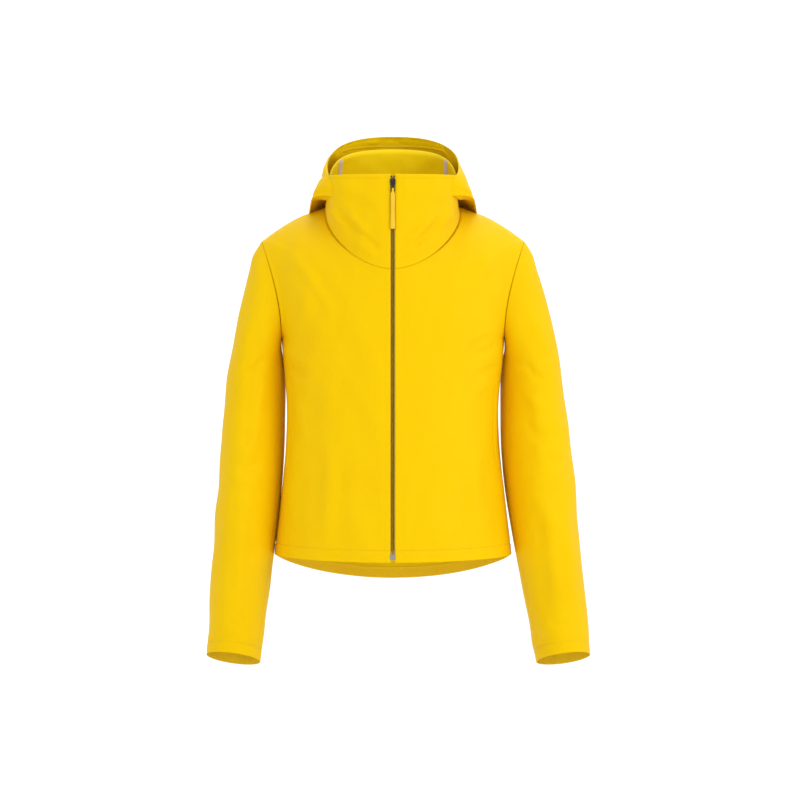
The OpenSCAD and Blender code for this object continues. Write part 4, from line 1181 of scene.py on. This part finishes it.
def make_bail():
    """The pull's round wire: a long loop in the plane of the zip."""
    corners = ((2.1, -1.0, 0), (-2.1, -1.0, 90), (-2.1, -12.0, 180), (2.1, -12.0, 270))
    path = np.array([(x + math.cos(w), WIRE_Y, z + math.sin(w)) for x, z, start in corners
                     for w in np.radians(start + np.linspace(0, 90, 6))])
    along = np.roll(path, -1, 0) - np.roll(path, 1, 0)
    a = np.cross(along, vec(0.3, 1, 0.2))
    b = np.cross(along, a)
    a, b = (v / np.linalg.norm(v, axis=1, keepdims=True) for v in (a, b))
    rings = np.stack([path + 0.55 * (a * math.cos(w) + b * math.sin(w))
                      for w in np.linspace(0, 2 * math.pi, 12, endpoint=False)], axis=1)
    fitted(lofted("pull_bail_wire", rings, SLIDER_Z, black_enamel, closed=True), "front_pull_bail",
           "zip_pull")


def make_grip():
    """The moulded grip: its height, half width and half thickness at each section, with fine ribs across."""
    heights, widths, thicks = np.array([
        (-71.0, 1.8, 0.7), (-70.4, 2.9, 1.1), (-68.8, 3.5, 1.3), (-64.0, 3.6, 1.3), (-56.0, 3.3, 1.3),
        (-40.0, 3.15, 1.3), (-24.0, 3.35, 1.3), (-18.0, 3.2, 1.3), (-16.0, 2.4, 1.3), (-14.4, 1.5, 1.15),
        (-10.2, 1.5, 1.05), (-9.6, 1.35, 0.75)]).T
    a = np.linspace(0, 2 * math.pi, 24, endpoint=False)
    c, s = np.cos(a), np.sin(a)
    rings = []
    for z in np.unique(np.concatenate([heights, np.linspace(-70.8, -9.8, 90)]))[::-1]:
        w, t = np.interp(z, heights, widths), np.interp(z, heights, thicks)
        rib = 0.22 * (0.5 + 0.5 * math.cos(2 * math.pi * z / 3.2)) if -62 < z < -26 else 0
        rings.append(np.stack([w * np.abs(c)**0.6 * np.sign(c), WIRE_Y + (t - rib) * np.abs(s)**0.75 * np.sign(s),
                               0 * c + z], -1))
    fitted(lofted("pull_grip_moulding", np.array(rings), SLIDER_Z, grip_rubber), "front_pull_grip",
           "zip_pull")


def make_retainer_box():
    outline = [(-3.9, 0.0), (3.9, 0.0), (4.1, 1.0), (4.1, 7.6), (3.5, 9.0), (1.2, 9.0), (0.9, 8.2), (-0.9, 8.2),
               (-1.2, 9.0), (-3.5, 9.0), (-4.1, 7.6), (-4.1, 1.0)]
    verts, faces = joined([slab(outline, -0.55, 2.3),
                           slab([(x * 0.62, 2.0 + z * 0.5) for x, z in outline], -0.95, -0.5)])
    box = solid("retainer_box_body", zip_place(verts, ZIP_BOTTOM), faces, dull_plate, bevel=0.3)
    fitted(box, "zip_retainer_box", "root")


make_slider()
make_bail()
make_grip()
make_retainer_box()
for node, finish in (("zip_insertion_pin", dull_plate), ("zip_top_stops", black_enamel)):
    thing = bpy.data.objects[node]
    thing.data.materials.clear()
    thing.data.materials.append(finish)


# Floor, lights and camera

def white_to_camera(tree, surface, glow, share, end):
    """Shows plain white where the camera looks straight at it, and lights the jacket with the other surface."""
    both, seen = tree.nodes.new("ShaderNodeMixShader"), tree.nodes.new("ShaderNodeLightPath")
    glow.inputs["Color"].default_value = WHITE
    glow.inputs["Strength"].default_value = 1.2
    tree.links.new(scale_by(tree.nodes, tree.links, seen.outputs["Is Camera Ray"], share), both.inputs[0])
    tree.links.new(surface.outputs[0], both.inputs[1])
    tree.links.new(glow.outputs[0], both.inputs[2])
    tree.links.new(both.outputs[0], end.inputs["Surface"])


def make_stage():
    mesh = bpy.data.meshes.new("studio_floor")
    shape = bmesh.new()
    bmesh.ops.create_circle(shape, cap_ends=True, segments=96, radius=6.0)
    shape.to_mesh(mesh)
    shape.free()
    mesh.transform(Matrix.Translation((0, 0, FLOOR_Z)))
    material, nodes, _, shader = new_material("pale studio floor")
    shader.inputs["Base Color"].default_value = (0.86, 0.86, 0.86, 1)
    shader.inputs["Roughness"].default_value = 0.9
    white_to_camera(material.node_tree, shader, nodes.new("ShaderNodeEmission"), 0.9, nodes["Material Output"])
    mesh.materials.append(material)
    linked("studio_floor", mesh)


def lamp(name, place, target, size, power):
    light = bpy.data.lights.new(name, "AREA")
    light.shape = "RECTANGLE"
    light.size, light.size_y = size
    light.energy = power
    thing = linked(name, light)
    thing.location = place
    thing.rotation_euler = (Vector(target) - Vector(place)).to_track_quat("-Z", "Y").to_euler()


def make_studio():
    world = bpy.data.worlds.new("studio")
    bpy.context.scene.world = world
    world.use_nodes = True
    nodes = world.node_tree.nodes
    soft = nodes["Background"]
    soft.inputs["Color"].default_value = WHITE
    soft.inputs["Strength"].default_value = 0.82
    white_to_camera(world.node_tree, soft, nodes.new("ShaderNodeBackground"), 1.0, nodes["World Output"])
    lamp("key", (2.3, -2.2, 0.9), (0, 0, -0.3), (1.5, 1.5), 24.5)
    lamp("fill", (-1.6, -3.0, 0.4), (0, 0, -0.35), (2.4, 2.4), 9)
    lamp("top", (0.3, 0.5, 2.2), (0, 0, -0.2), (2.0, 2.0), 17)
    lamp("back", (0, 2.8, 1.0), (0, 0, -0.3), (2.4, 2.0), 22)


def make_camera():
    lens = bpy.data.cameras.new("studio_camera")
    lens.sensor_width = 36
    lens.lens = 36 * CAMERA_AWAY / FIELD_WIDTH
    thing = linked("studio_camera", lens)
    thing.location = (0.01085, -CAMERA_AWAY, -0.302)
    thing.rotation_euler = (math.pi / 2, 0, 0)
    bpy.context.scene.camera = thing


make_stage()
make_studio()
make_camera()
bpy.context.scene.view_settings.view_transform = "Standard"
